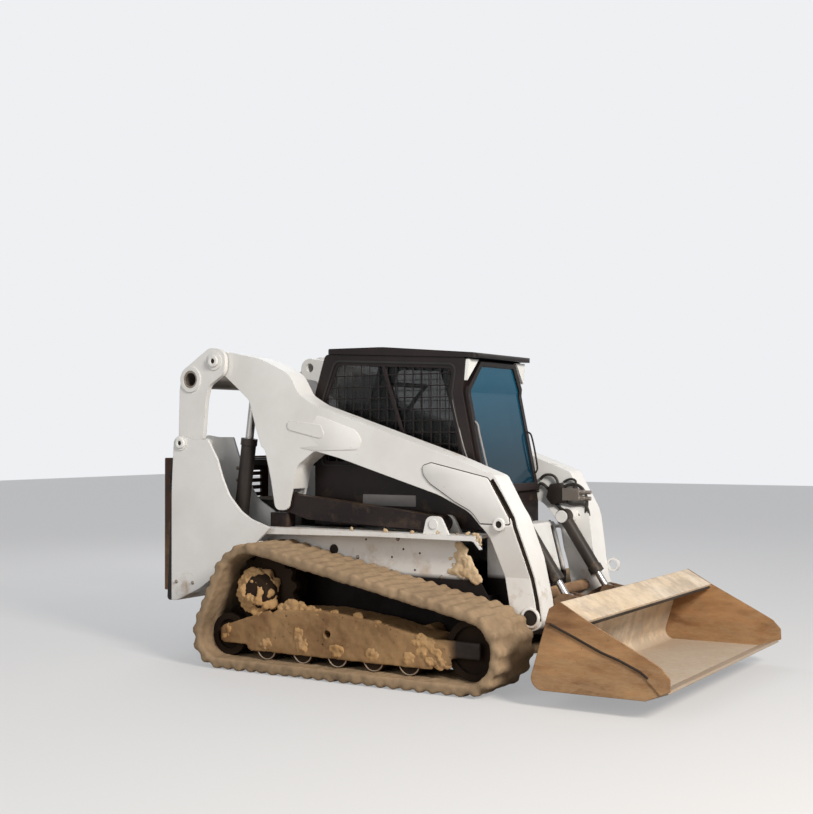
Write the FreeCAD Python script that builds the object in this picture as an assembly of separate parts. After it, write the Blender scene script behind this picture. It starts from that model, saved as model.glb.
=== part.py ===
"""Compact track loader with a vertical-path lift arm, parked with its bucket down.

Millimetres. +X is forward, +Y is the machine's left, +Z is up.
The origin is the middle of the overall box, on the ground under the tracks.
Side outlines are tables of (x, z, corner radius). Anchored tables are (anchor, dx, dz, corner radius).
"""
import FreeCAD, Part
import math
import os

V = FreeCAD.Vector

# Pivots seen from the side: x, z
LINK_FOOT = (-1700, 1442)
LINK_TOP = (-1445, 1996)
LINK_TUBE = (-1654, 1877)
ARM_FOOT = (-905, 1055)
CONTROL_FRONT = (250, 950)
COUPLER_PIN = (864, 415)
LIFT_BASE = (-1360, 620)
LIFT_EYE = (-1200, 1800)
TILT_BASE = (702, 963)
TILT_EYE = (1004, 505)
TORQUE_TUBE = (812, 521)
HOSE_RING = (938, 640)
AUX_NOSES = (1075, 1115)

# Stations across the machine, from its middle plane
CAB_HALF = 385
ARM_GAP = 55
ARM_WIDTH = 170
LEG_STEP = 80
LEG_PROUD = 5
TOWER_EDGE = 90
TRACK_GAP = 15
TRACK_WIDTH = 450
BUCKET_HALF = 1016
TILT_PLANE = 295
DOOR_REVEAL = 20
DOOR_RIM = 34
REAR_PANE_INSET = 95
TAILGATE_INSET = 45
HINGE_STATIONS = (580, 1150)

# Plates and fits
FRAME_PLATE = 16
ARM_PLATE = 14
LINK_PLATE = 34
CAB_WALL = 35
RUNNING_FIT = 0.05
SEAT_GAP = 0.3
SIDE_PLAY = 8

# Pins and cylinders
MAIN_PIN = 30
SMALL_PIN = 24
LIFT_BORE = 50
LIFT_ROD = 28
LIFT_BARREL_LENGTH = 860
TILT_BORE = 40
TILT_ROD = 22
TILT_BARREL_LENGTH = 420

# Tracks: wheels as x, z, radius of the belt's inner face
SPROCKET = (-895, 500, 243)
REAR_IDLER = (-1150, 207, 135)
FRONT_IDLER = (655, 252, 180)
BELT = 46
LUG = 26
LUG_COUNT = 56
LUG_SHARE = 0.56
LUG_START = 0.6
ROLLER_STATIONS = (-821, -539, -275, -12, 241)
ROLLER_RADIUS = 75
WALL_HOLE = (-550, 755)
IDLER_HALF = 85
FORK_PLATE = 20

# Frame and cab heights
BELLY = 206
DECK = 890
FRAME_REAR = -1098
CAB_FLOOR = 905
HOOD = 1330
ROOF_TOP = 2065
ROOF_SLOPE = 61
ROOF_PLATE = 32
ROOF_FRONT = ROOF_TOP - ROOF_SLOPE
DOOR_SPAN = (1130, ROOF_FRONT - 49)
LAMP_SPAN = (ROOF_FRONT - 172, ROOF_FRONT - 38)
CAB_KNEE = ROOF_FRONT - 254
CAB_BROW = ROOF_FRONT - 29

ARM_IN = CAB_HALF + ARM_GAP
ARM_OUT = ARM_IN + ARM_WIDTH
LEG_IN = ARM_IN - LEG_STEP
LEG_OUT = LEG_IN + ARM_WIDTH
WALL_OUT = LEG_OUT - LEG_PROUD
TOWER_IN = CAB_HALF
TOWER_OUT = ARM_OUT + TOWER_EDGE
TRACK_OUT = WALL_OUT + TRACK_GAP + TRACK_WIDTH
DOOR_HALF = CAB_HALF - DOOR_REVEAL
REAR_PANE_HALF = CAB_HALF - REAR_PANE_INSET
TAILGATE_HALF = TOWER_OUT - TAILGATE_INSET
TAILGATE_HINGE = (-1822, -TAILGATE_HALF - 13)
ARM_MID = (ARM_IN + ARM_OUT) / 2
TRACK_IN = TRACK_OUT - TRACK_WIDTH
TRACK_MID = TRACK_OUT - TRACK_WIDTH / 2


def outline(rows):
    """Closed wire in the side plane through the rows' corners, each rounded by its own radius."""
    edges = []
    starts = []
    ends = []
    count = len(rows)
    for i in range(count):
        before = V(rows[i - 1][0], 0, rows[i - 1][1])
        here = V(rows[i][0], 0, rows[i][1])
        after = V(rows[(i + 1) % count][0], 0, rows[(i + 1) % count][1])
        back = (before - here).normalize()
        ahead = (after - here).normalize()
        half = back.getAngle(ahead) / 2
        radius = rows[i][2]
        if radius == 0:
            starts.append(here)
            ends.append(here)
            continue
        reach = radius / math.tan(half)
        start = here + back * reach
        end = here + ahead * reach
        middle_way = (back + ahead).normalize()
        middle = here + middle_way * (radius / math.sin(half) - radius)
        edges.append((i, Part.Arc(start, middle, end).toShape()))
        starts.append(start)
        ends.append(end)
    ring = []
    arcs = dict(edges)
    for i in range(count):
        if i in arcs:
            ring.append(arcs[i])
        ring.append(Part.LineSegment(ends[i], starts[(i + 1) % count]).toShape())
    return Part.Wire(ring)


def anchored(rows):
    """Rows of (anchor, dx, dz, corner radius) as rows of (x, z, corner radius)."""
    return [(a[0] + dx, a[1] + dz, r) for a, dx, dz, r in rows]


def slab(rows, low, high):
    """Side outline as a plate between two stations across the machine."""
    face = Part.Face(outline(rows))
    face.translate(V(0, low, 0))
    return face.extrude(V(0, high - low, 0))


def inset_slab(rows, inset, low, high):
    """The same plate with its outline drawn in by one wall."""
    face = Part.Face(outline(rows)).makeOffset2D(-inset)
    face.translate(V(0, low, 0))
    return face.extrude(V(0, high - low, 0))


def cross_pin(at, low, high, radius):
    """Round bar across the machine at a pivot."""
    return Part.makeCylinder(radius, high - low, V(at[0], low, at[1]), V(0, 1, 0))


def bar(start, end, radius):
    """Round bar between two points."""
    way = V(*end) - V(*start)
    return Part.makeCylinder(radius, way.Length, V(*start), way)


def block(x, y, z):
    """Box from three pairs of limits."""
    return Part.makeBox(x[1] - x[0], y[1] - y[0], z[1] - z[0], V(x[0], y[0], z[0]))


def merged(shapes):
    """One solid, or one group of solids, from pieces that join."""
    return shapes[0].multiFuse(shapes[1:]).removeSplitter()


def other_side(shape):
    """The same shape on the machine's right."""
    return shape.mirror(V(0, 0, 0), V(0, 1, 0))


def save(name, shape):
    shape.exportStep("parts/" + name + ".step")


def save_pair(name, left):
    """A left piece and its mirror image on the right."""
    save(name + "_left", left)
    save(name + "_right", other_side(left))


def save_both(name, left):
    """A left piece and its mirror image on the right, in one file."""
    save(name, Part.makeCompound([left, other_side(left)]))


def tower():
    """Rear upright: outer plate, inner plate, rear wall, mudguard and the two pins that it carries."""
    outer = slab(anchored([
        (LINK_FOOT, -62, 62, 55), (LINK_FOOT, 80, 25, 40), (LINK_FOOT, 235, 25, 12),
        (LINK_FOOT, 315, -105, 60), (LINK_FOOT, 365, -240, 200), (LINK_FOOT, 420, -350, 200),
        (LINK_FOOT, 520, -450, 120), (LINK_FOOT, 600, -498, 100), (LINK_FOOT, 765, -552, 0),
        (LINK_FOOT, 650, -650, 0), (LINK_FOOT, 170, -977, 30), (LINK_FOOT, -36, -1071, 25),
        (LINK_FOOT, -123, -1074, 25), (LINK_FOOT, -72, -100, 30)]), TOWER_OUT - 20, TOWER_OUT)
    inner = slab(anchored([
        (LINK_FOOT, -62, 62, 55), (LINK_FOOT, 80, 40, 40), (LINK_FOOT, 210, 40, 12),
        (LINK_FOOT, 290, -170, 150), (LINK_FOOT, 420, -380, 150), (LINK_FOOT, 600, -480, 60),
        (LINK_FOOT, 600, -1070, 0), (LINK_FOOT, -105, -1070, 0)]), TOWER_IN, TOWER_IN + FRAME_PLATE)
    gap = (TOWER_IN + FRAME_PLATE, TOWER_OUT - 20)
    rear_wall = block((LINK_FOOT[0] - 105, LINK_FOOT[0] - 93), gap, (LINK_FOOT[1] - 1070, LINK_FOOT[1] - 110))
    guard = slab(anchored([
        (LINK_FOOT, -105, -1070, 0), (LINK_FOOT, -36, -1071, 0), (LINK_FOOT, 170, -977, 0),
        (LINK_FOOT, 640, -656, 0), (LINK_FOOT, 633, -646, 0), (LINK_FOOT, 165, -965, 0),
        (LINK_FOOT, -36, -1058, 0), (LINK_FOOT, -105, -1058, 0)]), gap[0], gap[1])
    guard = guard.cut(block((LIFT_BASE[0] - 75, LIFT_BASE[0] + 75), (ARM_MID - 58, ARM_MID + 58), (500, 700)))
    guard = guard.cut(block((FRAME_REAR - SEAT_GAP, -1000), (0, WALL_OUT + SEAT_GAP), (600, DECK)))
    foot_pin = cross_pin(LINK_FOOT, TOWER_IN, TOWER_OUT + 8, MAIN_PIN)
    boss = cross_pin(LINK_FOOT, TOWER_OUT, TOWER_OUT + 5, MAIN_PIN + 22)
    lift_pin = cross_pin(LIFT_BASE, TOWER_IN, TOWER_OUT, MAIN_PIN)
    whole = merged([outer, inner, rear_wall, guard, foot_pin, boss, lift_pin])
    for dx in (-40, 105):
        hole = cross_pin((LINK_FOOT[0] + dx, LINK_FOOT[1] - 945), TOWER_OUT - 30, TOWER_OUT + 10, 11)
        whole = whole.cut(hole)
    return whole


def rear_link():
    """Rear lift link: one thick plate outside the arm with a cap over each of its two pins."""
    low, high = ARM_OUT + SIDE_PLAY, ARM_OUT + SIDE_PLAY + LINK_PLATE
    plate = slab(anchored([
        (LINK_TUBE, -75, 62, 62), (LINK_TOP, -45, 92, 88), (LINK_TOP, 92, 78, 80),
        (LINK_TOP, 88, -82, 80), (LINK_TUBE, 160, -46, 70), (LINK_TUBE, 134, -141, 90),
        (LINK_FOOT, 153, 30, 20), (LINK_FOOT, 62, -64, 58), (LINK_FOOT, -64, -64, 60),
        (LINK_FOOT, -62, 76, 30), (LINK_TUBE, -100, -68, 60)]), low, high)
    ring = cross_pin(LINK_TUBE, high, high + 8, 88)
    cap = cross_pin(LINK_TOP, high, high + 6, 62)
    head = cross_pin(LINK_TOP, high + 6, high + 12, MAIN_PIN)
    whole = merged([plate, ring, cap, head])
    whole = whole.cut(cross_pin(LINK_FOOT, 0, TOWER_OUT, MAIN_PIN + RUNNING_FIT))
    return whole.cut(cross_pin(LINK_TUBE, 0, TOWER_OUT, 60 + SEAT_GAP))


def link_cross_tube():
    """Open tube that ties the two rear links."""
    half = ARM_OUT + SIDE_PLAY + LINK_PLATE + 4
    return cross_pin(LINK_TUBE, -half, half, 60).cut(cross_pin(LINK_TUBE, -half, half, 46))


ARM_OUTLINE = anchored([
    (LINK_TOP, -78, 76, 72), (LINK_TOP, 110, 55, 300), (LINK_TOP, 366, 6, 500),
    (LINK_TOP, 598, -100, 170), (LINK_TOP, 679, -240, 110), (LINK_TOP, 800, -307, 300),
    (COUPLER_PIN, -503, 951, 900), (COUPLER_PIN, -189, 834, 60), (COUPLER_PIN, -51, 590, 250),
    (COUPLER_PIN, 10, 342, 0), (COUPLER_PIN, 62, 109, 0), (COUPLER_PIN, 81, -30, 30),
    (COUPLER_PIN, -101, -96, 30), (COUPLER_PIN, -127, -4, 0), (COUPLER_PIN, -169, 244, 300),
    (COUPLER_PIN, -238, 481, 200), (COUPLER_PIN, -366, 616, 200), (COUPLER_PIN, -574, 713, 300),
    (ARM_FOOT, 456, 293, 0), (ARM_FOOT, 262, 338, 60), (ARM_FOOT, 122, 240, 80),
    (ARM_FOOT, 58, 0, 0), (ARM_FOOT, 50, -52, 45), (ARM_FOOT, -55, -52, 45),
    (ARM_FOOT, -91, 144, 0), (ARM_FOOT, -141, 342, 20), (ARM_FOOT, -174, 368, 20),
    (ARM_FOOT, -225, 508, 0), (ARM_FOOT, -276, 675, 60), (LIFT_EYE, -83, 13, 0),
    (LINK_TOP, 57, -99, 60), (LINK_TOP, -78, -76, 72)])


# The arm seen from the front: y, z. Below the knee both faces lean in between the tracks.
ARM_FRONT = [(ARM_IN, 2200), (ARM_IN, 1060), (LEG_IN, 760), (LEG_IN, 200), (LEG_OUT, 200), (LEG_OUT, 645),
             (ARM_OUT, 950), (ARM_OUT, 2200)]


def arm_envelope(inset):
    """Front outline of the arm as one long block, drawn in by a wall."""
    points = [V(-1700, y, z) for y, z in ARM_FRONT]
    face = Part.Face(Part.makePolygon(points + points[:1]))
    if inset:
        face = face.makeOffset2D(-inset)
    return face.extrude(V(3000, 0, 0))


def lift_arm():
    """Lift arm: a hollow welded box from the rear eye over the cab's flank down to the coupler pin."""
    walls = slab(ARM_OUTLINE, LEG_IN, ARM_OUT).common(arm_envelope(0))
    hollow = inset_slab(ARM_OUTLINE, ARM_PLATE, LEG_IN, ARM_OUT).common(arm_envelope(ARM_PLATE))
    shell = walls.cut(hollow)
    bosses = [
        cross_pin(LINK_TOP, ARM_IN, ARM_OUT, 70),
        cross_pin(COUPLER_PIN, LEG_IN, LEG_OUT, 78),
        cross_pin(COUPLER_PIN, LEG_OUT, LEG_OUT + 4, 66),
        cross_pin(TILT_BASE, TILT_PLANE - 48, ARM_OUT + 4, SMALL_PIN + 4),
        cross_pin(TILT_BASE, TILT_PLANE - 48, TILT_PLANE - 40, SMALL_PIN + 16),
        cross_pin(TILT_BASE, TILT_PLANE + 40, ARM_IN + ARM_PLATE, SMALL_PIN + 22)]
    rib = slab(anchored([
        (LINK_TOP, 557, -402, 30), (LINK_TOP, 855, -436, 30),
        (LINK_TOP, 894, -533, 30), (LINK_TOP, 596, -468, 30)]), ARM_OUT, ARM_OUT + 4)
    whole = shell.multiFuse(bosses + [rib])
    rod_slot = slab(anchored([
        (LIFT_EYE, -330, 66, 0), (LIFT_EYE, 62, 66, 0), (LIFT_EYE, 182, -90, 60), (LIFT_EYE, 182, -240, 60),
        (LIFT_EYE, 100, -320, 60), (LIFT_EYE, 80, -430, 0), (LIFT_EYE, -330, -430, 0)]),
        ARM_IN + 20, ARM_OUT - 20)
    foot_slot = slab(anchored([
        (ARM_FOOT, -150, 88, 0), (ARM_FOOT, 150, 88, 0), (ARM_FOOT, 150, -150, 0),
        (ARM_FOOT, -150, -150, 0)]), ARM_IN + 18, ARM_OUT - 18)
    whole = whole.cut(rod_slot).cut(foot_slot)
    whole = whole.cut(cross_pin(LINK_TOP, 0, ARM_OUT, MAIN_PIN + 3))
    whole = whole.cut(cross_pin(COUPLER_PIN, 0, ARM_OUT, 35 + RUNNING_FIT))
    whole = whole.cut(cross_pin(COUPLER_PIN, LEG_OUT - 26, LEG_OUT + 10, 48))
    pin = cross_pin(ARM_FOOT, ARM_IN, ARM_OUT, MAIN_PIN)
    return merged([whole, pin])


def control_link():
    """Lower link from the frame's bracket to the foot of the lift arm, one flat bar with two eyes."""
    half = (ARM_OUT - ARM_IN) / 2 - 24
    low, high = ARM_MID - half, ARM_MID + half
    web = slab(anchored([
        (ARM_FOOT, 0, 58, 0), (CONTROL_FRONT, 0, 46, 0), (CONTROL_FRONT, 0, -46, 0),
        (ARM_FOOT, 180, -110, 90), (ARM_FOOT, 0, -58, 0)]), low + 12, high - 12)
    eyes = [cross_pin(ARM_FOOT, low, high, 60), cross_pin(CONTROL_FRONT, low, high, 50)]
    whole = merged([web] + eyes)
    whole = whole.cut(cross_pin(ARM_FOOT, 0, ARM_OUT, MAIN_PIN + RUNNING_FIT))
    return whole.cut(cross_pin(CONTROL_FRONT, 0, ARM_OUT, MAIN_PIN + RUNNING_FIT))


def cylinder_pair(base, eye, plane, bore, rod, barrel_length, pin):
    """Barrel and rod of one hydraulic cylinder between two pivots, in one plane across the machine."""
    start = V(base[0], plane, base[1])
    end = V(eye[0], plane, eye[1])
    way = (end - start).normalize()
    mouth = start + way * barrel_length
    barrel = merged([
        Part.makeCylinder(bore, barrel_length - bore * 0.7, start + way * bore * 0.7, way),
        Part.makeCylinder(bore + 6, 46, mouth - way * 46, way),
        cross_pin(base, plane - bore * 0.8, plane + bore * 0.8, pin + 20)])
    barrel = barrel.cut(cross_pin(base, 0, plane * 2, pin + RUNNING_FIT))
    inside = Part.makeCylinder(rod + RUNNING_FIT, barrel_length, mouth - way * (barrel_length - 140), way)
    barrel = barrel.cut(inside)
    length = (end - mouth).Length + barrel_length - 150
    rod_end = Part.makeCylinder(rod, length, end - way * length, way)
    eye_block = cross_pin(eye, plane - rod * 1.2, plane + rod * 1.2, rod + 14)
    eye_pin = cross_pin(eye, plane - rod * 1.2 - 3, plane + rod * 1.2 + 3, rod - 4)
    return barrel, merged([rod_end, eye_block, eye_pin])


def hull_points():
    """Straight runs of the belt: for each wheel, the angles at which the belt meets and leaves it."""
    wheels = [SPROCKET, FRONT_IDLER, REAR_IDLER]
    runs = []
    for i in range(3):
        a = wheels[i]
        b = wheels[(i + 1) % 3]
        way = math.atan2(b[1] - a[1], b[0] - a[0])
        span = math.hypot(b[0] - a[0], b[1] - a[1])
        turn = math.asin((a[2] - b[2]) / span)
        runs.append(way + math.pi / 2 - turn)
    return wheels, runs


def belt_path(offset):
    """Pieces of the belt's loop at an offset outside its inner face: lines and arcs in order."""
    wheels, runs = hull_points()
    pieces = []
    for i in range(3):
        x, z, radius = wheels[i]
        radius += offset
        angle_in = runs[i - 1]
        angle_out = runs[i]
        while angle_out > angle_in:
            angle_out -= 2 * math.pi
        pieces.append(("arc", x, z, radius, angle_in, angle_out))
        nx, nz, nr = wheels[(i + 1) % 3]
        nr += offset
        start = (x + radius * math.cos(angle_out), z + radius * math.sin(angle_out))
        end = (nx + nr * math.cos(runs[i]), nz + nr * math.sin(runs[i]))
        pieces.append(("line", start, end, runs[i]))
    return pieces


def belt_wire(offset):
    """The belt's loop as one wire of arcs and lines."""
    edges = []
    for piece in belt_path(offset):
        if piece[0] == "line":
            edges.append(Part.LineSegment(V(piece[1][0], 0, piece[1][1]), V(piece[2][0], 0, piece[2][1])).toShape())
        else:
            x, z, radius, first, last = piece[1:]
            ring = [V(x + radius * math.cos(a), 0, z + radius * math.sin(a)) for a in (first, (first + last) / 2, last)]
            edges.append(Part.Arc(*ring).toShape())
    return Part.Wire(edges)


def belt_point(share, height):
    """Point at a share of the way round the belt, at a height above its inner face."""
    pieces = belt_path(BELT / 2)
    lengths = []
    for piece in pieces:
        if piece[0] == "line":
            lengths.append(math.hypot(piece[2][0] - piece[1][0], piece[2][1] - piece[1][1]))
        else:
            lengths.append(piece[3] * (piece[4] - piece[5]))
    left = (share % 1) * sum(lengths)
    for piece, length in zip(pieces, lengths):
        if left > length:
            left -= length
            continue
        part = left / length
        if piece[0] == "line":
            x = piece[1][0] + (piece[2][0] - piece[1][0]) * part
            z = piece[1][1] + (piece[2][1] - piece[1][1]) * part
            angle = piece[3]
        else:
            angle = piece[4] + (piece[5] - piece[4]) * part
            x = piece[1] + piece[3] * math.cos(angle)
            z = piece[2] + piece[3] * math.sin(angle)
        rise = height - BELT / 2
        return V(x + rise * math.cos(angle), 0, z + rise * math.sin(angle))
    return V(pieces[0][1], 0, pieces[0][2])


def track():
    """Rubber track: one closed belt with two rows of lugs, half a pitch apart."""
    halves = []
    for row, (low, high) in enumerate(((TRACK_IN, TRACK_MID), (TRACK_MID, TRACK_OUT))):
        corners = []
        for lug in range(LUG_COUNT):
            start = (lug + LUG_START + row / 2) / LUG_COUNT
            tip = LUG_SHARE / LUG_COUNT
            corners.append(belt_point(start, BELT))
            corners.append(belt_point(start + tip * 0.12, BELT + LUG))
            corners.append(belt_point(start + tip * 0.88, BELT + LUG))
            corners.append(belt_point(start + tip, BELT))
        outside = Part.makePolygon(corners + corners[:1])
        face = Part.Face(outside).cut(Part.Face(belt_wire(0)))
        face.translate(V(0, low, 0))
        halves.append(face.extrude(V(0, high - low, 0)))
    return merged(halves)


def track_frame():
    """Undercarriage beam: a box open below with its roller axles and the tube to the main frame."""
    shape = [(-1010, 250, 20), (-718, 400, 60), (-371, 411, 0), (-5, 377, 0), (207, 334, 0),
             (413, 303, 30), (440, 240, 20), (400, 125, 10), (-960, 125, 20)]
    low, high = TRACK_MID - 130, TRACK_MID + 130
    walls = slab(shape, low, high)
    room = slab([(-930, 100, 0), (-930, 232, 0), (370, 232, 0), (370, 100, 0)], low + 14, high - 14)
    whole = walls.cut(room)
    for x in (-342, 240):
        whole = merged([whole, cross_pin((x, 290), WALL_OUT + SEAT_GAP, low + 20, 55)])
    plates = []
    for near in (TRACK_MID - IDLER_HALF - 8 - FORK_PLATE, TRACK_MID + IDLER_HALF + 8):
        plates.append(block((380, FRONT_IDLER[0] + 60), (near, near + FORK_PLATE), (200, 300)))
        plates.append(block((REAR_IDLER[0] - 50, -900), (near, near + FORK_PLATE), (165, 250)))
    reach = IDLER_HALF + 8 + FORK_PLATE - 2
    for near, far in ((low, TRACK_MID - reach), (TRACK_MID + reach, high)):
        plates.append(slab([(-1180, 160, 20), (-1180, 262, 30), (-784, 391, 0), (-784, 180, 0),
                            (-870, 180, 0), (-900, 160, 0)], near, far))
        plates.append(slab([(380, 308, 0), (493, 262, 40), (545, 150, 20), (380, 150, 0)], near, far))
    whole = merged([whole] + plates)
    whole = whole.cut(cross_pin(SPROCKET, TRACK_MID - 34, TRACK_MID + 34, SPROCKET[2] + 8))
    hub = cross_pin((-342, 273), high - 1, high + 6, 34).cut(cross_pin((-342, 273), high - 2, high + 6, 24))
    whole = whole.cut(cross_pin((-342, 273), high - 100, high + 1, 24))
    return merged([whole, hub])


def rollers():
    """Road rollers in the beam, each with its flanges and axle caps."""
    low, high = TRACK_MID - 130, TRACK_MID + 130
    z = BELT + LUG + ROLLER_RADIUS + SEAT_GAP
    wheels = []
    for x in ROLLER_STATIONS:
        drum = merged([
            cross_pin((x, z), low + 14 + SEAT_GAP, high - 14 - SEAT_GAP, 24),
            cross_pin((x, z), low + 20, high - 20, ROLLER_RADIUS - 15),
            cross_pin((x, z), low + 20, low + 80, ROLLER_RADIUS),
            cross_pin((x, z), high - 80, high - 20, ROLLER_RADIUS)])
        wheels.append(drum)
    return Part.makeCompound(wheels)


def idler(wheel):
    """Idler wheel between its forks: two rims, a web and a hub."""
    width = IDLER_HALF
    rim = wheel[2] - SEAT_GAP
    disc = merged([
        cross_pin(wheel, TRACK_MID - width, TRACK_MID + width, rim - 18),
        cross_pin(wheel, TRACK_MID - width, TRACK_MID - width + 30, rim),
        cross_pin(wheel, TRACK_MID + width - 30, TRACK_MID + width, rim)])
    pocket = cross_pin(wheel, TRACK_MID + width - 22, TRACK_MID + width, rim - 40)
    pocket = pocket.cut(cross_pin(wheel, TRACK_MID, TRACK_MID + width, 45))
    far = cross_pin(wheel, TRACK_MID - width, TRACK_MID - width + 22, rim - 40)
    far = far.cut(cross_pin(wheel, TRACK_MID - width, TRACK_MID, 45))
    axle = cross_pin(wheel, TRACK_MID - width - 8 + SEAT_GAP, TRACK_MID + width + 8 - SEAT_GAP, 38)
    return merged([disc.cut(pocket).cut(far), axle])


def sprocket():
    """Drive sprocket with its teeth, and the round drive housing from the frame wall to its cap."""
    teeth = 15
    tip = SPROCKET[2] - SEAT_GAP
    corners = []
    for i in range(teeth):
        for share, radius in ((0.0, tip - 30), (0.28, tip), (0.52, tip), (0.8, tip - 30)):
            angle = 2 * math.pi * (i + share) / teeth
            corners.append(V(SPROCKET[0] + radius * math.cos(angle), 0, SPROCKET[1] + radius * math.sin(angle)))
    wheel = Part.Face(Part.makePolygon(corners + corners[:1]))
    wheel.translate(V(0, TRACK_MID - 22, 0))
    disc = wheel.extrude(V(0, 44, 0))
    housing = cross_pin(SPROCKET, WALL_OUT + SEAT_GAP, TRACK_MID - 20, 135)
    cap = cross_pin(SPROCKET, TRACK_MID, TRACK_MID + 95, 120)
    nose = Part.makeCone(120, 84, 45, V(SPROCKET[0], TRACK_MID + 95, SPROCKET[1]), V(0, 1, 0))
    return merged([disc, housing, cap, nose])


def main_frame():
    """Main frame: belly, side walls, decks, front box, rear wall, and the brackets of the control links."""
    tail = LINK_FOOT[0] - 92
    belly = block((LINK_FOOT[0] + 30, 560), (-WALL_OUT, WALL_OUT), (BELLY, BELLY + FRAME_PLATE))
    parts = [belly]
    wall_rear = FRAME_REAR + 10
    for side in (-1, 1):
        wall = slab([(wall_rear, BELLY, 0), (600, BELLY, 30), (600, 480, 30), (420, 770, 60), (372, DECK - 18, 0),
                     (wall_rear, DECK - 18, 0)], WALL_OUT - FRAME_PLATE, WALL_OUT)
        wall = wall.cut(cross_pin(WALL_HOLE, 0, WALL_OUT + 5, 34))
        closing = block((FRAME_REAR, FRAME_REAR + FRAME_PLATE), (TOWER_IN + FRAME_PLATE, WALL_OUT),
                        (BELLY, DECK - 18))
        ears = []
        for low in (ARM_IN - 2, ARM_OUT - 18):
            ears.append(slab(anchored([
                (CONTROL_FRONT, -75, DECK - CONTROL_FRONT[1], 0), (CONTROL_FRONT, -48, 48, 45),
                (CONTROL_FRONT, 48, 48, 45), (CONTROL_FRONT, 105, DECK - CONTROL_FRONT[1], 0)]), low, low + 20))
        pin = cross_pin(CONTROL_FRONT, ARM_IN - 2, ARM_OUT + 8, MAIN_PIN)
        deck = block((FRAME_REAR, 560), (CAB_HALF + 15, 650), (DECK - 18, DECK))
        lip = slab([(FRAME_REAR + 18, DECK - 46, 0), (FRAME_REAR + 18, DECK - 10, 0), (560, DECK - 10, 40),
                    (606, 815, 0), (588, 810, 0), (545, DECK - 30, 30), (-180, DECK - 30, 0)], 642, 650)
        half = merged([wall, closing, deck, lip, pin] + ears)
        parts.append(half if side > 0 else other_side(half))
    front = block((544, 560), (-WALL_OUT + 2, WALL_OUT - 2), (BELLY, 520))
    beam = block((tail, tail + 40), (-TOWER_IN + SEAT_GAP, TOWER_IN - SEAT_GAP), (372, 520))
    rails = [block((tail, LINK_FOOT[0] + 60), (y - 30, y + 30), (BELLY + FRAME_PLATE, 380)) for y in (-250, 250)]
    return merged(parts + [front, front_box(), beam] + rails)


def front_box():
    """Sloping box that closes the frame below the door, with a slot beside each lift arm's leg."""
    half = LEG_IN - 2 * SIDE_PLAY
    shape = [(478, 420, 0), (478, 925, 0), (606, 925, 15), (690, 600, 40), (684, 460, 30), (600, 400, 30)]
    whole = slab(shape, -half, half)
    whole = whole.cut(inset_slab(shape, 12, -half + 12, half - 12))
    whole = whole.cut(block((470, 500), (-half + 12, half - 12), (440, 905)))
    for side in (-1, 1):
        slot = block((550, 720), tuple(sorted((side * (half - 70), side * (half - 24)))), (590, 900))
        whole = whole.cut(slot)
    links = [block((470, 500), tuple(sorted((side * (half - 12), side * WALL_OUT - side * 5))), (425, 500))
             for side in (-1, 1)]
    return merged([whole] + links)


def arm_stops():
    """Blocks on the deck that the feet of the lift arms come down over."""
    left = block((FRAME_REAR + 60, ARM_FOOT[0] + 20), (ARM_IN + 38, ARM_OUT - 38),
                 (DECK + SEAT_GAP, ARM_FOOT[1] - 72))
    upright = [e for e in left.Edges if e.BoundBox.ZLength > 50]
    left = left.makeFillet(18, upright)
    return Part.makeCompound([left, other_side(left)])


def hood():
    """Rear grille over the engine: a frame with slats, between the towers."""
    half = TOWER_IN - SEAT_GAP
    rim = block((LINK_FOOT[0] - 40, -825), (-half, half), (HOOD - 40, HOOD))
    room = block((LINK_FOOT[0] + 10, -880), (-half + 50, half - 50), (HOOD - 50, HOOD + 10))
    whole = rim.cut(room)
    slats = []
    pitch = 62
    x = LINK_FOOT[0] + 40
    while x < -900:
        slat = block((x, x + 30), (-half + 45, half - 45), (HOOD - 22, HOOD - 14))
        slats.append(slat)
        x += pitch
    return merged([whole] + slats)


def tailgate():
    """Rear door with its louvred opening, lamp pockets and hinge knuckles on the machine's right."""
    face = LINK_FOOT[0] - 200
    back = LINK_FOOT[0] - 105 - SEAT_GAP
    door = block((face, back), (-TAILGATE_HALF, TAILGATE_HALF), (430, 1340))
    door = door.makeFillet(24, [e for e in door.Edges if abs(e.Vertexes[0].X - face) < 1
                                and abs(e.Vertexes[-1].X - face) < 1])
    room = block((face + 20, face + 100), (-TAILGATE_HALF + 30, TAILGATE_HALF - 30), (460, 1310))
    door = door.cut(room)
    grille = block((face - 5, face + 30), (-420, 420), (760, 1230))
    door = door.cut(grille)
    slats = []
    for i in range(9):
        z = 775 + i * 52
        slat = slab([(face + 3, z, 0), (face + 17, z + 30, 0), (face + 20, z + 30, 0), (face + 6, z, 0)], -421, 421)
        slats.append(slat)
    lamps = [block((face - 0.2, face + 18), (y - 45, y + 45), (1130, 1230)) for y in (-540, 540)]
    for lamp in lamps:
        door = door.cut(lamp)
    knuckles = []
    for z in HINGE_STATIONS:
        at = (TAILGATE_HINGE[0], TAILGATE_HINGE[1], z)
        leaf = block((at[0] - 9, at[0] + 9), (at[1], -TAILGATE_HALF + 5), (z + 5, z + 55))
        knuckle = bar((at[0], at[1], z + 5), (at[0], at[1], z + 55), 10)
        hole = bar((at[0], at[1], z), (at[0], at[1], z + 60), 5 + RUNNING_FIT)
        knuckles.append(merged([leaf, knuckle]).cut(hole))
    return merged([door] + slats + knuckles)


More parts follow.
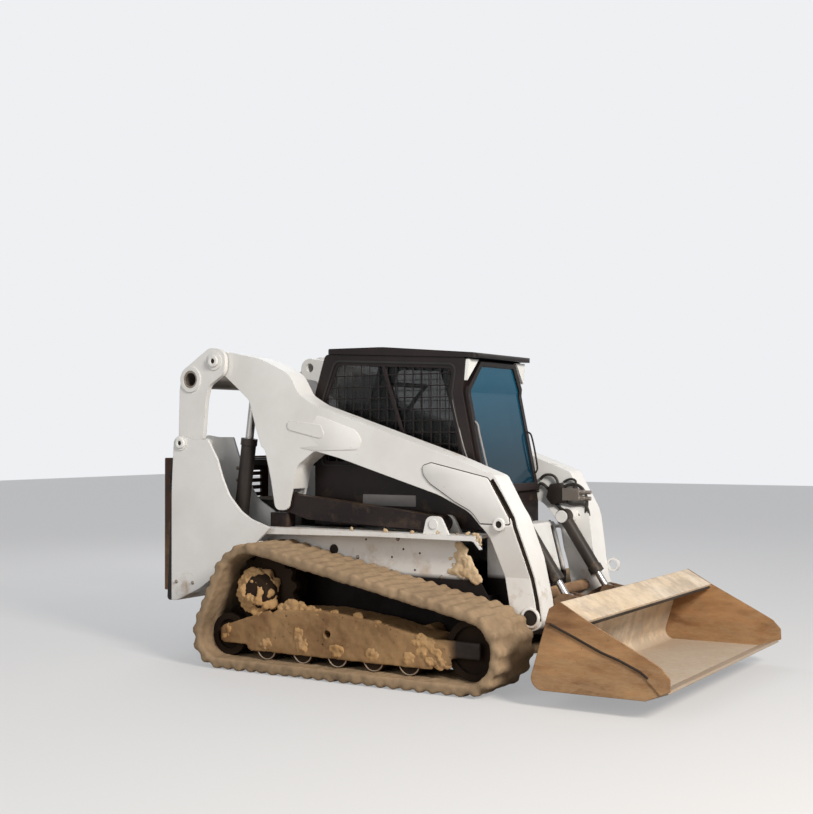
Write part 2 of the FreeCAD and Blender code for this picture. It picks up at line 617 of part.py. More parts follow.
def tailgate_hinges():
    """Fixed halves of the tailgate's hinges: strap, two knuckles and the pin."""
    pieces = []
    for z in HINGE_STATIONS:
        at = TAILGATE_HINGE
        strap = block((at[0] + 14, at[0] + 52), (-TOWER_OUT + 20, at[1] - 4), (z - 35, z + 95))
        pieces += [strap, bar((at[0], at[1], z), (at[0], at[1], z + 60), 5)]
        pieces += [block((at[0] - 4, at[0] + 16), (-TOWER_OUT + 20, at[1] - 4), (low, low + 35))
                   for low in (z - 35, z + 60)]
        pieces += [bar((at[0], at[1], low), (at[0], at[1], low + 35), 10) for low in (z - 35, z + 60)]
    return pieces


CAB_SIDE = [(-800, CAB_FLOOR, 0), (-800, ROOF_TOP - 297, 60), (-715, ROOF_TOP - 34, 40), (352, CAB_BROW, 20),
            (330, CAB_KNEE, 60), (470, 1060, 60), (470, CAB_FLOOR, 0)]
SIDE_WINDOW = [(-735, 1300, 40), (-745, CAB_KNEE - 50, 40), (-630, ROOF_TOP - 87, 60), (278, ROOF_TOP - 135, 50),
               (248, CAB_KNEE, 60), (350, 1290, 40)]
REAR_PANE = (1380, ROOF_TOP - 90)


def cab_shell():
    """Operator cab: a hollow shell with its side, rear and door openings cut."""
    shell = slab(CAB_SIDE, -CAB_HALF, CAB_HALF)
    shell = shell.cut(inset_slab(CAB_SIDE, CAB_WALL, -CAB_HALF + CAB_WALL, CAB_HALF - CAB_WALL))
    shell = shell.cut(slab(SIDE_WINDOW, -CAB_HALF - 5, CAB_HALF + 5))
    low, top = REAR_PANE
    rear = slab([(-900, low, 0), (-900, top, 0), (-620, top, 0), (-700, top - 255, 0), (-740, low, 0)],
                -REAR_PANE_HALF, REAR_PANE_HALF)
    low, top = DOOR_SPAN[0] + 20, DOOR_SPAN[1] - 27
    front = slab([(200, low, 0), (260, CAB_KNEE, 0), (260, top, 0), (520, top, 0), (520, low, 0)],
                 -DOOR_HALF + 40, DOOR_HALF - 40)
    return shell.cut(rear).cut(front)


def cab_roof():
    """Roof panel with its rounded edges and front visor."""
    rows = [(-706, ROOF_TOP - ROOF_PLATE, 0), (-690, ROOF_TOP, 20), (-260, ROOF_TOP - 3, 900), (425, ROOF_FRONT, 16),
            (425, ROOF_FRONT - ROOF_PLATE, 10), (353, CAB_BROW + 0.5, 0), (-690, ROOF_TOP - 34.7, 0)]
    roof = slab(rows, -CAB_HALF - 10, CAB_HALF + 10)
    plan = block((-706, 425), (-CAB_HALF - 10, CAB_HALF + 10), (CAB_FLOOR, ROOF_TOP + 10))
    upright = [e for e in plan.Edges if e.BoundBox.ZLength > 100]
    return roof.common(plan.makeFillet(45, upright))


def side_screen():
    """Welded guard screen in the side window with its divider, rounds and frame."""
    low, high = CAB_HALF - 14, CAB_HALF - 4
    frame = inset_slab(SIDE_WINDOW, SEAT_GAP, low, high)
    frame = frame.cut(inset_slab(SIDE_WINDOW, 22, low - 1, high + 1))
    divider = slab([(-29, 1285, 0), (-53, 1285, 0), (-289, 1985, 0), (-265, 1985, 0)], low, high)
    area = inset_slab(SIDE_WINDOW, 12, low - 1, high + 1)
    rounds = []
    x = -700
    while x < 330:
        rounds.append(block((x, x + 6), (low + 2, low + 6), (1280, 1990)))
        x += 66
    z = 1360
    while z < 1950:
        rounds.append(block((-750, 345), (low + 5, low + 9), (z, z + 6)))
        z += 74
    bars = merged([divider] + rounds).common(area)
    return merged([frame, bars])


def side_glass():
    """Side pane behind the guard screen."""
    return inset_slab(SIDE_WINDOW, SEAT_GAP, CAB_HALF - 30, CAB_HALF - 25)


def rear_glass():
    """Rear pane in the cab's sloping back."""
    low, top = REAR_PANE[0] + SEAT_GAP, REAR_PANE[1] - SEAT_GAP
    half = REAR_PANE_HALF - SEAT_GAP
    return slab([(-797, low, 0), (-792, low, 0), (-792, ROOF_TOP - 298, 0), (-725, top, 0),
                 (-730.5, top, 0), (-797, ROOF_TOP - 296, 0)], -half, half)


def door_band(inside, outside, low_z, high_z, half):
    """Strip along the cab's folded front between two offsets, cut to a height and a width."""
    rows = [(352 + inside, CAB_BROW, 0), (330 + inside, CAB_KNEE, 60), (470 + inside, 1060, 0),
            (470 + outside, 1060, 0), (330 + outside, CAB_KNEE, 60), (352 + outside, CAB_BROW, 0)]
    band = slab(rows, -half, half)
    return band.common(block((0, 700), (-half, half), (low_z, high_z)))


def door_cutter(half, low_z, high_z, corner_y, corner_z):
    """Front-view outline with two cut upper corners, as a block through the door."""
    points = [(-half, low_z), (half, low_z), (half, high_z - corner_z), (half - corner_y, high_z),
              (-half + corner_y, high_z), (-half, high_z - corner_z)]
    wire = Part.makePolygon([V(100, y, z) for y, z in points + points[:1]])
    return Part.Face(wire).extrude(V(600, 0, 0))


def cab_door():
    """Door frame: a folded panel with its window opening, hinge edge on the machine's left."""
    low, top = DOOR_SPAN
    panel = door_band(1, 30, low, top, DOOR_HALF)
    panel = panel.common(door_cutter(DOOR_HALF, low, top, 130, 160))
    return panel.cut(door_cutter(DOOR_HALF - DOOR_RIM, low + 48, top - 29, 118, 148))


def door_glass():
    """Door pane seated in the frame's opening."""
    low, top = DOOR_SPAN
    pane = door_band(12, 19, low, top, DOOR_HALF)
    half = DOOR_HALF - DOOR_RIM - SEAT_GAP
    return pane.common(door_cutter(half, low + 48 + SEAT_GAP, top - 29 - SEAT_GAP, 118, 148))


def corner_lamps():
    """Three-cornered work lamps in the corners that the door leaves free under the roof."""
    outside = CAB_HALF - 2
    low, top = LAMP_SPAN
    corners = [V(300, outside, low), V(300, outside, top), V(300, outside - 125, top)]
    wedge = Part.Face(Part.makePolygon(corners + corners[:1])).extrude(V(200, 0, 0))
    left = door_band(1, 26, low - 30, top + 4, outside + 1).common(wedge)
    return Part.makeCompound([left, other_side(left)])


def seat():
    """Operator's seat: pedestal, cushion and back."""
    pedestal = block((-560, -140), (-200, 200), (CAB_FLOOR + CAB_WALL + SEAT_GAP, 1180))
    cushion = slab([(-600, 1180, 0), (-100, 1180, 20), (-80, 1270, 40), (-560, 1290, 30), (-600, 1290, 0)], -240, 240)
    back = slab([(-600, 1250, 20), (-520, 1285, 20), (-600, 1730, 60), (-690, 1730, 30), (-690, 1400, 40)], -230, 230)
    return merged([pedestal, cushion, back])


def controls():
    """Two control levers with their consoles, and the instrument panels under the roof."""
    pieces = []
    for side in (-1, 1):
        console = block((-120, 120), (250, 348), (CAB_FLOOR + CAB_WALL + SEAT_GAP, 1210))
        stalk = bar((40, 290, 1205), (70, 270, 1400), 12)
        grip = bar((68, 271, 1395), (84, 262, 1500), 24)
        panel = block((190, 270), (150, CAB_HALF - CAB_WALL - SEAT_GAP), (1800, 1900))
        lever = merged([console, stalk, grip])
        pieces += [lever, panel] if side > 0 else [other_side(lever), other_side(panel)]
    return Part.makeCompound(pieces)


def seat_bar():
    """Restraint bar, raised, on pivots at the sides of the seat back."""
    y = 262
    pivot = (-620, 1500)
    top = (-330, 1830)
    pieces = [bar((pivot[0], s * y, pivot[1]), (top[0], s * y, top[1]), 14) for s in (-1, 1)]
    pieces.append(bar((top[0], -y - 12, top[1]), (top[0], y + 12, top[1]), 16))
    pieces += [bar((pivot[0], s * (230 + SEAT_GAP), pivot[1]), (pivot[0], s * (y + 8), pivot[1]), 22)
               for s in (-1, 1)]
    return merged(pieces)


def coupler_pins():
    """Hinge pins between the arms and the tool coupler."""
    left = cross_pin(COUPLER_PIN, LEG_IN - 36, LEG_OUT - 30, 35)
    return Part.makeCompound([left, other_side(left)])


BACK_LOW = (1098, 160)
BACK_HIGH = (1217, 550)


def behind_bucket(height, distance):
    """Point at a height on the bucket's back line, moved back from it by a distance."""
    slope = (BACK_HIGH[0] - BACK_LOW[0]) / (BACK_HIGH[1] - BACK_LOW[1])
    shift = distance * math.hypot(1, slope)
    return BACK_LOW[0] + (height - BACK_LOW[1]) * slope - shift


def coupler():
    """Tool coupler: back plate, top and bottom tubes, hinge ears and the ears of the tilt rods."""
    low, high = 172, 520
    half = 530
    plate = slab([(behind_bucket(low, SEAT_GAP), low, 0), (behind_bucket(high, SEAT_GAP), high, 0),
                  (behind_bucket(high, 17), high, 0), (behind_bucket(low, 17), low, 0)], -half, half)
    window = block((900, 1300), (-190, 190), (250, 430))
    plate = plate.cut(window)
    pieces = [plate]
    foot = (behind_bucket(215, 50), 215)
    pieces.append(cross_pin(foot, -half, half, 36))
    for side in (-1, 1):
        hinge = slab([(behind_bucket(200, 10), 200, 0), (behind_bucket(515, 10), 515, 0),
                      (TILT_EYE[0] - 14, TILT_EYE[1] + 44, 36), (COUPLER_PIN[0] - 4, COUPLER_PIN[1] + 62, 50),
                      (COUPLER_PIN[0] - 64, COUPLER_PIN[1] - 16, 50), (COUPLER_PIN[0] + 20, COUPLER_PIN[1] - 84, 60)],
                     LEG_IN - 30, LEG_IN - 8)
        hinge = hinge.cut(cross_pin(COUPLER_PIN, 0, ARM_OUT, 35 + RUNNING_FIT))
        ears = [slab([(behind_bucket(330, 10), 330, 0), (behind_bucket(515, 10), 515, 0),
                      (TILT_EYE[0] - 10, TILT_EYE[1] + 44, 36), (TILT_EYE[0] - 45, TILT_EYE[1] - 30, 30),
                      (TILT_EYE[0] - 5, TILT_EYE[1] - 80, 20)], TILT_PLANE - 54, TILT_PLANE - 36)]
        outer = slab([(behind_bucket(190, 10), 190, 0), (behind_bucket(500, 10), 500, 0),
                      (1075, 500, 30), (1010, 240, 30)], half - 30, half - 12)
        group = merged([hinge, outer] + ears)
        pieces.append(group if side > 0 else other_side(group))
    return merged(pieces)


BUCKET_SIDE = [(BACK_HIGH[0], BACK_HIGH[1], 20), (1276, 589, 8), (1440, 496, 20), (1738, 344, 60),
               (1847, 287, 40), (1898, 232, 20), (1900, 165, 0), (1764, 104, 0), (1150, 100, 50),
               (BACK_LOW[0] - 6, BACK_LOW[1] - 20, 60)]


def bucket_shell():
    """Bucket pan: floor, rolled heel, back and the folded top flange in one bent sheet."""
    wall = 14
    outer = [(1440, 496, 0), (1276, 589, 16), (BACK_HIGH[0], BACK_HIGH[1], 20),
             (BACK_LOW[0] - 6, BACK_LOW[1] - 20, 70), (1150, 100, 60), (1764, 104, 0), (1764, 104 + wall, 0),
             (1165, 100 + wall, 60), (BACK_LOW[0] + 12, BACK_LOW[1] - 12, 60),
             (BACK_HIGH[0] + 15, BACK_HIGH[1] - 14, 20), (1278, 570, 10), (1432, 483, 0)]
    half = BUCKET_HALF - 16 - SEAT_GAP
    return slab(outer, -half, half)


def bucket_sides():
    """Bucket side plates with their doublers along the front and lower edges."""
    plate = slab(BUCKET_SIDE, BUCKET_HALF - 16, BUCKET_HALF - 6)
    band = slab(BUCKET_SIDE, BUCKET_HALF - 6, BUCKET_HALF)
    cut = slab([(1000, 60, 0), (1000, 472, 0), (1222, 470, 40), (1738, 250, 60), (1860, 130, 0), (1860, 60, 0)],
               BUCKET_HALF - 6, BUCKET_HALF + 1)
    left = merged([plate, band.cut(cut)])
    return Part.makeCompound([left, other_side(left)])


def cutting_edge():
    """Bevelled cutting edge across the bucket's lip."""
    half = BUCKET_HALF - 16 - SEAT_GAP
    return slab([(1764.3, 104, 0), (1764.3, 122, 0), (1872, 158, 0), (1890, 150, 0)], -half, half)


def auxiliary_couplers():
    """Hydraulic quick couplers on the left arm's inner face."""
    block_body = block((640, 760), (ARM_IN - 46, ARM_IN - SEAT_GAP), (AUX_NOSES[0] - 15, AUX_NOSES[1] + 25))
    noses = []
    for z in AUX_NOSES:
        noses.append(bar((750, ARM_IN - 24, z), (835, ARM_IN - 24, z), 13))
        noses.append(bar((755, ARM_IN - 24, z), (795, ARM_IN - 24, z), 17))
    return merged([block_body] + noses)


def hose_ring():
    """Guide ring for tool hoses on the front edge of the left arm."""
    ring = cross_pin(HOSE_RING, LEG_OUT + 2, LEG_OUT + 18, 44).cut(cross_pin(HOSE_RING, 0, ARM_OUT, 30))
    stem = cross_pin((HOSE_RING[0] - 40, HOSE_RING[1] - 12), LEG_OUT + SEAT_GAP, LEG_OUT + 10, 8)
    return merged([ring, stem])


def engine():
    """Engine and hydraulics as one block on the belly plate."""
    return block((-1600, -980), (-300, 300), (BELLY + FRAME_PLATE + SEAT_GAP, 1050))


os.makedirs("parts", exist_ok=True)
save("main_frame", main_frame())
save("rear_tower_left", tower())
save("rear_tower_right", merged([other_side(tower())] + tailgate_hinges()))
save("engine_block", engine())
save("rear_grille", hood())
save("tailgate", tailgate())
save_pair("track", track())
save_both("track_frames", track_frame())
save_both("road_rollers", rollers())
save_both("idlers", Part.makeCompound([idler(FRONT_IDLER), idler(REAR_IDLER)]))
save_both("sprockets", sprocket())
save("arm_stops", arm_stops())
save("cab_shell", cab_shell())
save("cab_roof", cab_roof())
save_both("side_screens", side_screen())
save_both("side_glass", side_glass())
save("rear_glass", rear_glass())
save("corner_lamps", corner_lamps())
save("seat", seat())
save("controls", controls())
save("seat_bar", seat_bar())
save("cab_door", cab_door())
save("door_glass", door_glass())
save_both("rear_links", rear_link())
save("link_cross_tube", link_cross_tube())
save_pair("lift_arm", lift_arm())
save("torque_tube", cross_pin(TORQUE_TUBE, -LEG_IN + SEAT_GAP, LEG_IN - SEAT_GAP, 36))
save_both("control_links", control_link())
lift_barrel, lift_rod = cylinder_pair(
    LIFT_BASE, LIFT_EYE, ARM_MID, LIFT_BORE, LIFT_ROD, LIFT_BARREL_LENGTH, MAIN_PIN)
tilt_barrel, tilt_rod = cylinder_pair(
    TILT_BASE, TILT_EYE, TILT_PLANE, TILT_BORE, TILT_ROD, TILT_BARREL_LENGTH, SMALL_PIN + 4)
save_both("lift_barrels", lift_barrel)
save_both("lift_rods", lift_rod)
save_both("tilt_barrels", tilt_barrel)
save_both("tilt_rods", tilt_rod)
save("coupler_pins", coupler_pins())
save("coupler", coupler())
save("bucket_shell", bucket_shell())
save("bucket_sides", bucket_sides())
save("cutting_edge", cutting_edge())
save("auxiliary_couplers", auxiliary_couplers())
save("hose_ring", hose_ring())
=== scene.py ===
"""Compact track loader with its bucket down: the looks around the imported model, in metres."""
import math

import bpy
from mathutils import Matrix, Vector


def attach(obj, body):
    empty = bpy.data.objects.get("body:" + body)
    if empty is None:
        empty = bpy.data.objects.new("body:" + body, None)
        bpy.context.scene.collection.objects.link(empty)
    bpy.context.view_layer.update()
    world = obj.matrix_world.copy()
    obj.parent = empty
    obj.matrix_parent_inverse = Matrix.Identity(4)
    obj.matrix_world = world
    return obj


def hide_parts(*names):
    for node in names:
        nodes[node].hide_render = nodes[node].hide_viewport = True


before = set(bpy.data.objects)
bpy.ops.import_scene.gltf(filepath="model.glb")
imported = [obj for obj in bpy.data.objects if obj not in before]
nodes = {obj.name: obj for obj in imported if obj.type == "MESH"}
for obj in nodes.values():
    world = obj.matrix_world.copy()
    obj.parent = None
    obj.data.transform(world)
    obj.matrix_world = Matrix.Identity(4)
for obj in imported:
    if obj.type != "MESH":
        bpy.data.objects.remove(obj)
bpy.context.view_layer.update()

# Camera. It stands low in front of the machine's right side, a little above the height
# of the arms, with the long end of a portrait lens.
LENS = 57.494
EYE = (4.2951, -7.4360, 1.4977)
LOOK = (math.radians(91.2049), 0.00288, 0.555533)
camera_data = bpy.data.cameras.new("camera")
camera_data.lens = LENS
camera_data.sensor_width = 36.0
camera = bpy.data.objects.new("camera", camera_data)
bpy.context.scene.collection.objects.link(camera)
camera.location = EYE
camera.rotation_euler = LOOK
bpy.context.scene.camera = camera

# Studio. A pale floor, a pale world and three soft lamps: one from the front for the sun,
# one for the sky behind and one that lifts the side that faces the camera.
FLOOR_COLOUR = (0.36, 0.345, 0.33, 1)
FLOOR_GLOW = 0.34
SKY_LIGHT = 0.30
LAMP_AIM = Vector((0, 0, 0.8))
LAMPS = [  # name, place, size, power, colour
    ("sun_side", (8.0, -4.2, 5.6), 2.2, 1050, (1.0, 0.96, 0.90)),
    ("sky_behind", (-5.5, 4.5, 6.5), 5.0, 170, (0.90, 0.95, 1.0)),
    ("near_side", (-1.5, -8.5, 3.4), 5.0, 160, (1.0, 0.98, 0.95))]


def seen_rays(tree):
    """One for the rays that end in the picture: straight, mirrored or through glass."""
    ray = tree.nodes.new("ShaderNodeLightPath")
    mirrored = tree.nodes.new("ShaderNodeMath")
    mirrored.operation = "MAXIMUM"
    seen = tree.nodes.new("ShaderNodeMath")
    seen.operation = "MAXIMUM"
    tree.links.new(ray.outputs["Is Glossy Ray"], mirrored.inputs[0])
    tree.links.new(ray.outputs["Is Transmission Ray"], mirrored.inputs[1])
    tree.links.new(ray.outputs["Is Camera Ray"], seen.inputs[0])
    tree.links.new(mirrored.outputs[0], seen.inputs[1])
    return seen.outputs[0]


bpy.context.scene.view_settings.view_transform = "Standard"
bpy.ops.object.select_all(action="DESELECT")
bpy.ops.mesh.primitive_plane_add(size=60, location=(0, 0, 0))
floor = bpy.context.object
floor.name = "studio_floor"
floor_finish = bpy.data.materials.new("studio_floor")
floor_finish.use_nodes = True
floor_tree = floor_finish.node_tree
floor_shader = floor_tree.nodes["Principled BSDF"]
floor_shader.inputs["Base Color"].default_value = FLOOR_COLOUR
floor_shader.inputs["Roughness"].default_value = 0.9
floor_shader.inputs["Emission Color"].default_value = (0.97, 0.98, 1.0, 1)
floor_glow = floor_tree.nodes.new("ShaderNodeMath")
floor_glow.operation = "MULTIPLY"
floor_glow.inputs[1].default_value = FLOOR_GLOW
floor_tree.links.new(seen_rays(floor_tree), floor_glow.inputs[0])
floor_tree.links.new(floor_glow.outputs[0], floor_shader.inputs["Emission Strength"])
floor.data.materials.append(floor_finish)

world = bpy.data.worlds.new("studio")
world.use_nodes = True
sky_tree = world.node_tree
sky = sky_tree.nodes["Background"]
sky.inputs["Strength"].default_value = SKY_LIGHT
sky.inputs["Color"].default_value = (0.86, 0.92, 1.0, 1)
seen_sky = sky_tree.nodes.new("ShaderNodeBackground")
seen_sky.inputs["Color"].default_value = (0.86, 0.87, 0.89, 1)
seen_sky.inputs["Strength"].default_value = 1.0
either = sky_tree.nodes.new("ShaderNodeMixShader")
sky_tree.links.new(seen_rays(sky_tree), either.inputs["Fac"])
sky_tree.links.new(sky.outputs["Background"], either.inputs[1])
sky_tree.links.new(seen_sky.outputs["Background"], either.inputs[2])
sky_tree.links.new(either.outputs["Shader"], sky_tree.nodes["World Output"].inputs["Surface"])
bpy.context.scene.world = world

for lamp_name, place, size, power, colour in LAMPS:
    lamp_data = bpy.data.lights.new(lamp_name, "AREA")
    lamp_data.size = size
    lamp_data.energy = power
    lamp_data.color = colour
    lamp = bpy.data.objects.new(lamp_name, lamp_data)
    bpy.context.scene.collection.objects.link(lamp)
    lamp.location = place
    lamp.rotation_euler = (LAMP_AIM - Vector(place)).to_track_quat("-Z", "Y").to_euler()

# Painted plate: rear links and left tower. Cream enamel on welded steel plate,
# chipped to rust along its edges, with dried mud that thins out with height.
MUD = (0.46, 0.29, 0.155, 1)
RUST = (0.16, 0.065, 0.03, 1)
CREAM = (0.80, 0.785, 0.76, 1)
CREAM_SHADE = (0.71, 0.69, 0.66, 1)


def weathered(name, base, tone, under, chips=0.5, mud_height=(0.15, 0.95), splash=0.5, rough=0.42,
              metal=0.0, grain=(90, 0.12), mud=MUD, shine=0.3, stretch=(1, 1, 1)):
    """Worn paint: two tones, chips that bare an under colour at the edges, and mud from below."""
    finish = bpy.data.materials.new(name)
    finish.use_nodes = True
    tree = finish.node_tree
    link = tree.links.new
    shader = tree.nodes["Principled BSDF"]
    place = tree.nodes.new("ShaderNodeTexCoord").outputs["Object"]
    drawn = tree.nodes.new("ShaderNodeMapping")
    drawn.inputs["Scale"].default_value = stretch
    link(place, drawn.inputs["Vector"])

    def noise(scale, detail, roughness):
        node = tree.nodes.new("ShaderNodeTexNoise")
        node.inputs["Scale"].default_value = scale
        node.inputs["Detail"].default_value = detail
        node.inputs["Roughness"].default_value = roughness
        link(drawn.outputs["Vector"], node.inputs["Vector"])
        return node.outputs["Fac"]

    def spread(value, low, high, start=0.0, end=1.0):
        node = tree.nodes.new("ShaderNodeMapRange")
        node.inputs["From Min"].default_value = low
        node.inputs["From Max"].default_value = high
        node.inputs["To Min"].default_value = start
        node.inputs["To Max"].default_value = end
        link(value, node.inputs["Value"])
        return node.outputs["Result"]

    def sum_of(kind, first, second):
        node = tree.nodes.new("ShaderNodeMath")
        node.operation = kind
        for socket, value in zip(node.inputs, (first, second)):
            if isinstance(value, (int, float)):
                socket.default_value = value
            else:
                link(value, socket)
        return node.outputs[0]

    def blend(factor, first, second):
        node = tree.nodes.new("ShaderNodeMix")
        node.data_type = "RGBA"
        link(factor, node.inputs["Factor"])
        for socket, value in ((node.inputs[6], first), (node.inputs[7], second)):
            if isinstance(value, tuple):
                socket.default_value = value
            else:
                link(value, socket)
        return node.outputs[2]

    geometry = tree.nodes.new("ShaderNodeNewGeometry")
    bevel = tree.nodes.new("ShaderNodeBevel")
    bevel.samples = 4
    bevel.inputs["Radius"].default_value = 0.006
    turn = tree.nodes.new("ShaderNodeVectorMath")
    turn.operation = "DOT_PRODUCT"
    link(bevel.outputs["Normal"], turn.inputs[0])
    link(geometry.outputs["Normal"], turn.inputs[1])
    edge = spread(turn.outputs["Value"], 0.97, 0.80)
    split = tree.nodes.new("ShaderNodeSeparateXYZ")
    link(place, split.inputs[0])
    facing = tree.nodes.new("ShaderNodeSeparateXYZ")
    link(geometry.outputs["Normal"], facing.inputs[0])

    tones = blend(spread(noise(2.3, 6, 0.6), 0.35, 0.68), base, tone)
    grain_scale, grain_height = grain
    specks = noise(grain_scale * 0.75, 5, 0.72)
    patches = noise(5.5, 4, 0.6)
    bared = sum_of("ADD", sum_of("MULTIPLY", edge, 0.30 * chips), sum_of("MULTIPLY", patches, 0.24))
    bare = spread(sum_of("ADD", specks, bared), 0.86 - 0.08 * chips, 0.90 - 0.08 * chips)
    height = spread(split.outputs["Z"], mud_height[0], mud_height[1], 0.36, -0.10)
    lying = spread(facing.outputs["Z"], 0.5, 1.0, 0.0, 0.16)
    caked = sum_of("ADD", sum_of("ADD", noise(7.0, 8, 0.66), height), lying)
    muddy = spread(caked, 0.62, 0.80, 0.0, splash)
    chipped = blend(bare, tones, under)
    damp_mud = tuple(share * 0.72 for share in mud[:3]) + (1,)
    tint = blend(spread(noise(26, 6, 0.7), 0.35, 0.65), mud, damp_mud)
    link(blend(muddy, chipped, tint), shader.inputs["Base Color"])
    dull = sum_of("MAXIMUM", bare, muddy)
    matt = sum_of("ADD", sum_of("MULTIPLY", dull, 0.7), sum_of("MULTIPLY", noise(11, 4, 0.6), 0.3))
    link(spread(matt, 0.0, 0.9, rough, 0.92), shader.inputs["Roughness"])
    shader.inputs["Metallic"].default_value = metal
    shader.inputs["Specular IOR Level"].default_value = shine
    bump = tree.nodes.new("ShaderNodeBump")
    bump.inputs["Distance"].default_value = 0.0022
    bump.inputs["Strength"].default_value = 0.55
    fine = sum_of("MULTIPLY", noise(grain_scale, 4, 0.6), grain_height)
    coats = sum_of("SUBTRACT", sum_of("MULTIPLY", muddy, 0.8), sum_of("MULTIPLY", bare, 0.25))
    relief = sum_of("ADD", fine, coats)
    link(relief, bump.inputs["Height"])
    link(bevel.outputs["Normal"], bump.inputs["Normal"])
    link(bump.outputs["Normal"], shader.inputs["Normal"])
    return finish


def paint_nodes(finish, *names):
    """The finish on CAD nodes that keep their shape."""
    for name in names:
        for holder in nodes[name].material_slots:
            holder.material = finish


cream = weathered("cream_enamel", CREAM, CREAM_SHADE, RUST, chips=0.45, mud_height=(0.15, 0.80),
                  splash=0.7)
paint_nodes(cream, "rear_links", "rear_tower_left")

# Lift arms. Each is a box of welded plate that steps in between the tracks below its knee.
# A channel runs down beside the front edge, with a near-black strip of painted shade on its floor,
# and doubler plates are welded on at the knee and behind the rear bend.
SIDES = ((-1, "right"), (1, "left"))
ARM_FACE = 0.610
LEG_FACE = 0.530
LEG_TAPER = (0.645, 0.950)
ARM_EDGE = [(0.669, 1.240), (0.735, 1.140), (0.813, 1.005), (0.8265, 0.950), (0.874, 0.757),
            (0.899, 0.645), (0.926, 0.524), (0.944, 0.400)]
CHANNEL_MIDDLE = 0.024
CHANNEL_HALF = 0.015
CHANNEL_DEPTH = 0.016
CUTTER_HEIGHT = 0.05
CHANNEL_SHADE_COAT = 0.0015
DOUBLER_SINK = 0.001
KNEE_PROUD = 0.008
REAR_PROUD = 0.0028
REAR_DIP = 0.005
REAR_DIP_START = -0.69
KNEE_SHADOW_SPAN = (0.009, 0.0046)
KNEE_SHADOW_GROWTH = 0.008
KNEE_DOUBLER = [(0.235, 1.322, 0.03), (0.172, 1.303, 0.02), (0.184, 1.249, 0.03), (0.226, 1.200, 0.08),
                (0.332, 1.136, 0.20), (0.402, 1.092, 0.03), (0.520, 1.035, 0.15), (0.575, 0.966, 0.01),
                (0.772, 0.966, 0.01), (0.764, 1.005, 0.02), (0.626, 1.236, 0.03)]
REAR_DOUBLER = [(-0.272, 1.463, 0.04), (-0.325, 1.526, 0.05), (-0.519, 1.591, 0.10), (-0.700, 1.650, 0.02),
                (-0.860, 1.690, 0.02), (-0.860, 1.420, 0.02), (-0.640, 1.392, 0.10), (-0.303, 1.400, 0.03)]


def alone(add, **start):
    """A primitive as the start of a piece, with nothing else selected."""
    bpy.ops.object.select_all(action="DESELECT")
    add(**start)
    return bpy.context.object


def pick(piece):
    """Only this piece is selected and active."""
    bpy.ops.object.select_all(action="DESELECT")
    piece.select_set(True)
    bpy.context.view_layer.objects.active = piece


def shaped(piece, kind, **settings):
    """One modifier on the piece, applied at once."""
    pick(piece)
    modifier = piece.modifiers.new(kind.lower(), kind)
    for key, value in settings.items():
        setattr(modifier, key, value)
    bpy.ops.object.modifier_apply(modifier=modifier.name)
    return piece


def finished(piece, name, finish, body, crease=35):
    """The piece's name, finish, body and slot, with its place in its mesh."""
    pick(piece)
    piece.name = name
    bpy.ops.object.transform_apply(location=True, rotation=True, scale=True)
    piece.data.materials.clear()
    piece.data.materials.append(finish)
    bpy.ops.object.shade_smooth_by_angle(angle=math.radians(crease))
    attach(piece, body)
    return piece


def joined(pieces):
    """Several meshes as one piece."""
    pick(pieces[0])
    for piece in pieces:
        piece.select_set(True)
    bpy.ops.object.join()
    return bpy.context.object


def rounded(rows, steps=5):
    """Corners of a side outline (x, z, radius), each rounded by its own radius."""
    corners = []
    for i, (x, z, radius) in enumerate(rows):
        here = Vector((x, z))
        back = (Vector(rows[i - 1][:2]) - here).normalized()
        ahead = (Vector(rows[(i + 1) % len(rows)][:2]) - here).normalized()
        half = back.angle(ahead) / 2
        if radius == 0:
            corners.append(here)
            continue
        middle = here + (back + ahead).normalized() * radius / math.sin(half)
        start = here + back * radius / math.tan(half) - middle
        sweep = start.angle_signed(here + ahead * radius / math.tan(half) - middle)
        for step in range(steps + 1):
            corners.append(middle + Matrix.Rotation(-sweep * step / steps, 2) @ start)
    return corners


def outlined(rows, station):
    """A flat face in the side plane, inside a rounded outline, at a station across the machine."""
    corners = rounded(rows)
    piece = alone(bpy.ops.mesh.primitive_circle_add, vertices=len(corners), fill_type="NGON")
    for point, corner in zip(piece.data.vertices, corners):
        point.co = (corner.x, station, corner.y)
    return piece


def drawn_out(piece, reach):
    """The piece's faces drawn out across the machine into a closed skin."""
    bpy.ops.object.mode_set(mode="EDIT")
    bpy.ops.mesh.select_all(action="SELECT")
    bpy.ops.mesh.extrude_region_move(TRANSFORM_OT_translate={"value": (0, reach, 0)})
    bpy.ops.mesh.select_all(action="SELECT")
    bpy.ops.mesh.normals_make_consistent(inside=False)
    bpy.ops.object.mode_set(mode="OBJECT")
    return piece


def plate(rows, near, far, chamfer=0.0015):
    """A plate in the side plane from one station across the machine to another."""
    piece = drawn_out(outlined(rows, near), far - near)
    if chamfer:
        shaped(piece, "BEVEL", width=chamfer, segments=2, limit_method="ANGLE")
    return piece


def arm_face(z):
    """How far out the arm's outer face stands at a height."""
    share = (z - LEG_TAPER[0]) / (LEG_TAPER[1] - LEG_TAPER[0])
    return LEG_FACE + (ARM_FACE - LEG_FACE) * min(max(share, 0), 1)


def merged_copy(name):
    """A CAD node's mesh as a new piece with its points merged."""
    pick(nodes[name])
    bpy.ops.object.duplicate()
    piece = bpy.context.object
    for key in list(piece.keys()):
        del piece[key]
    piece.parent = None
    bpy.ops.object.mode_set(mode="EDIT")
    bpy.ops.mesh.select_all(action="SELECT")
    bpy.ops.mesh.remove_doubles(threshold=0.00002)
    bpy.ops.object.mode_set(mode="OBJECT")
    bpy.ops.mesh.customdata_custom_splitnormals_clear()
    return piece


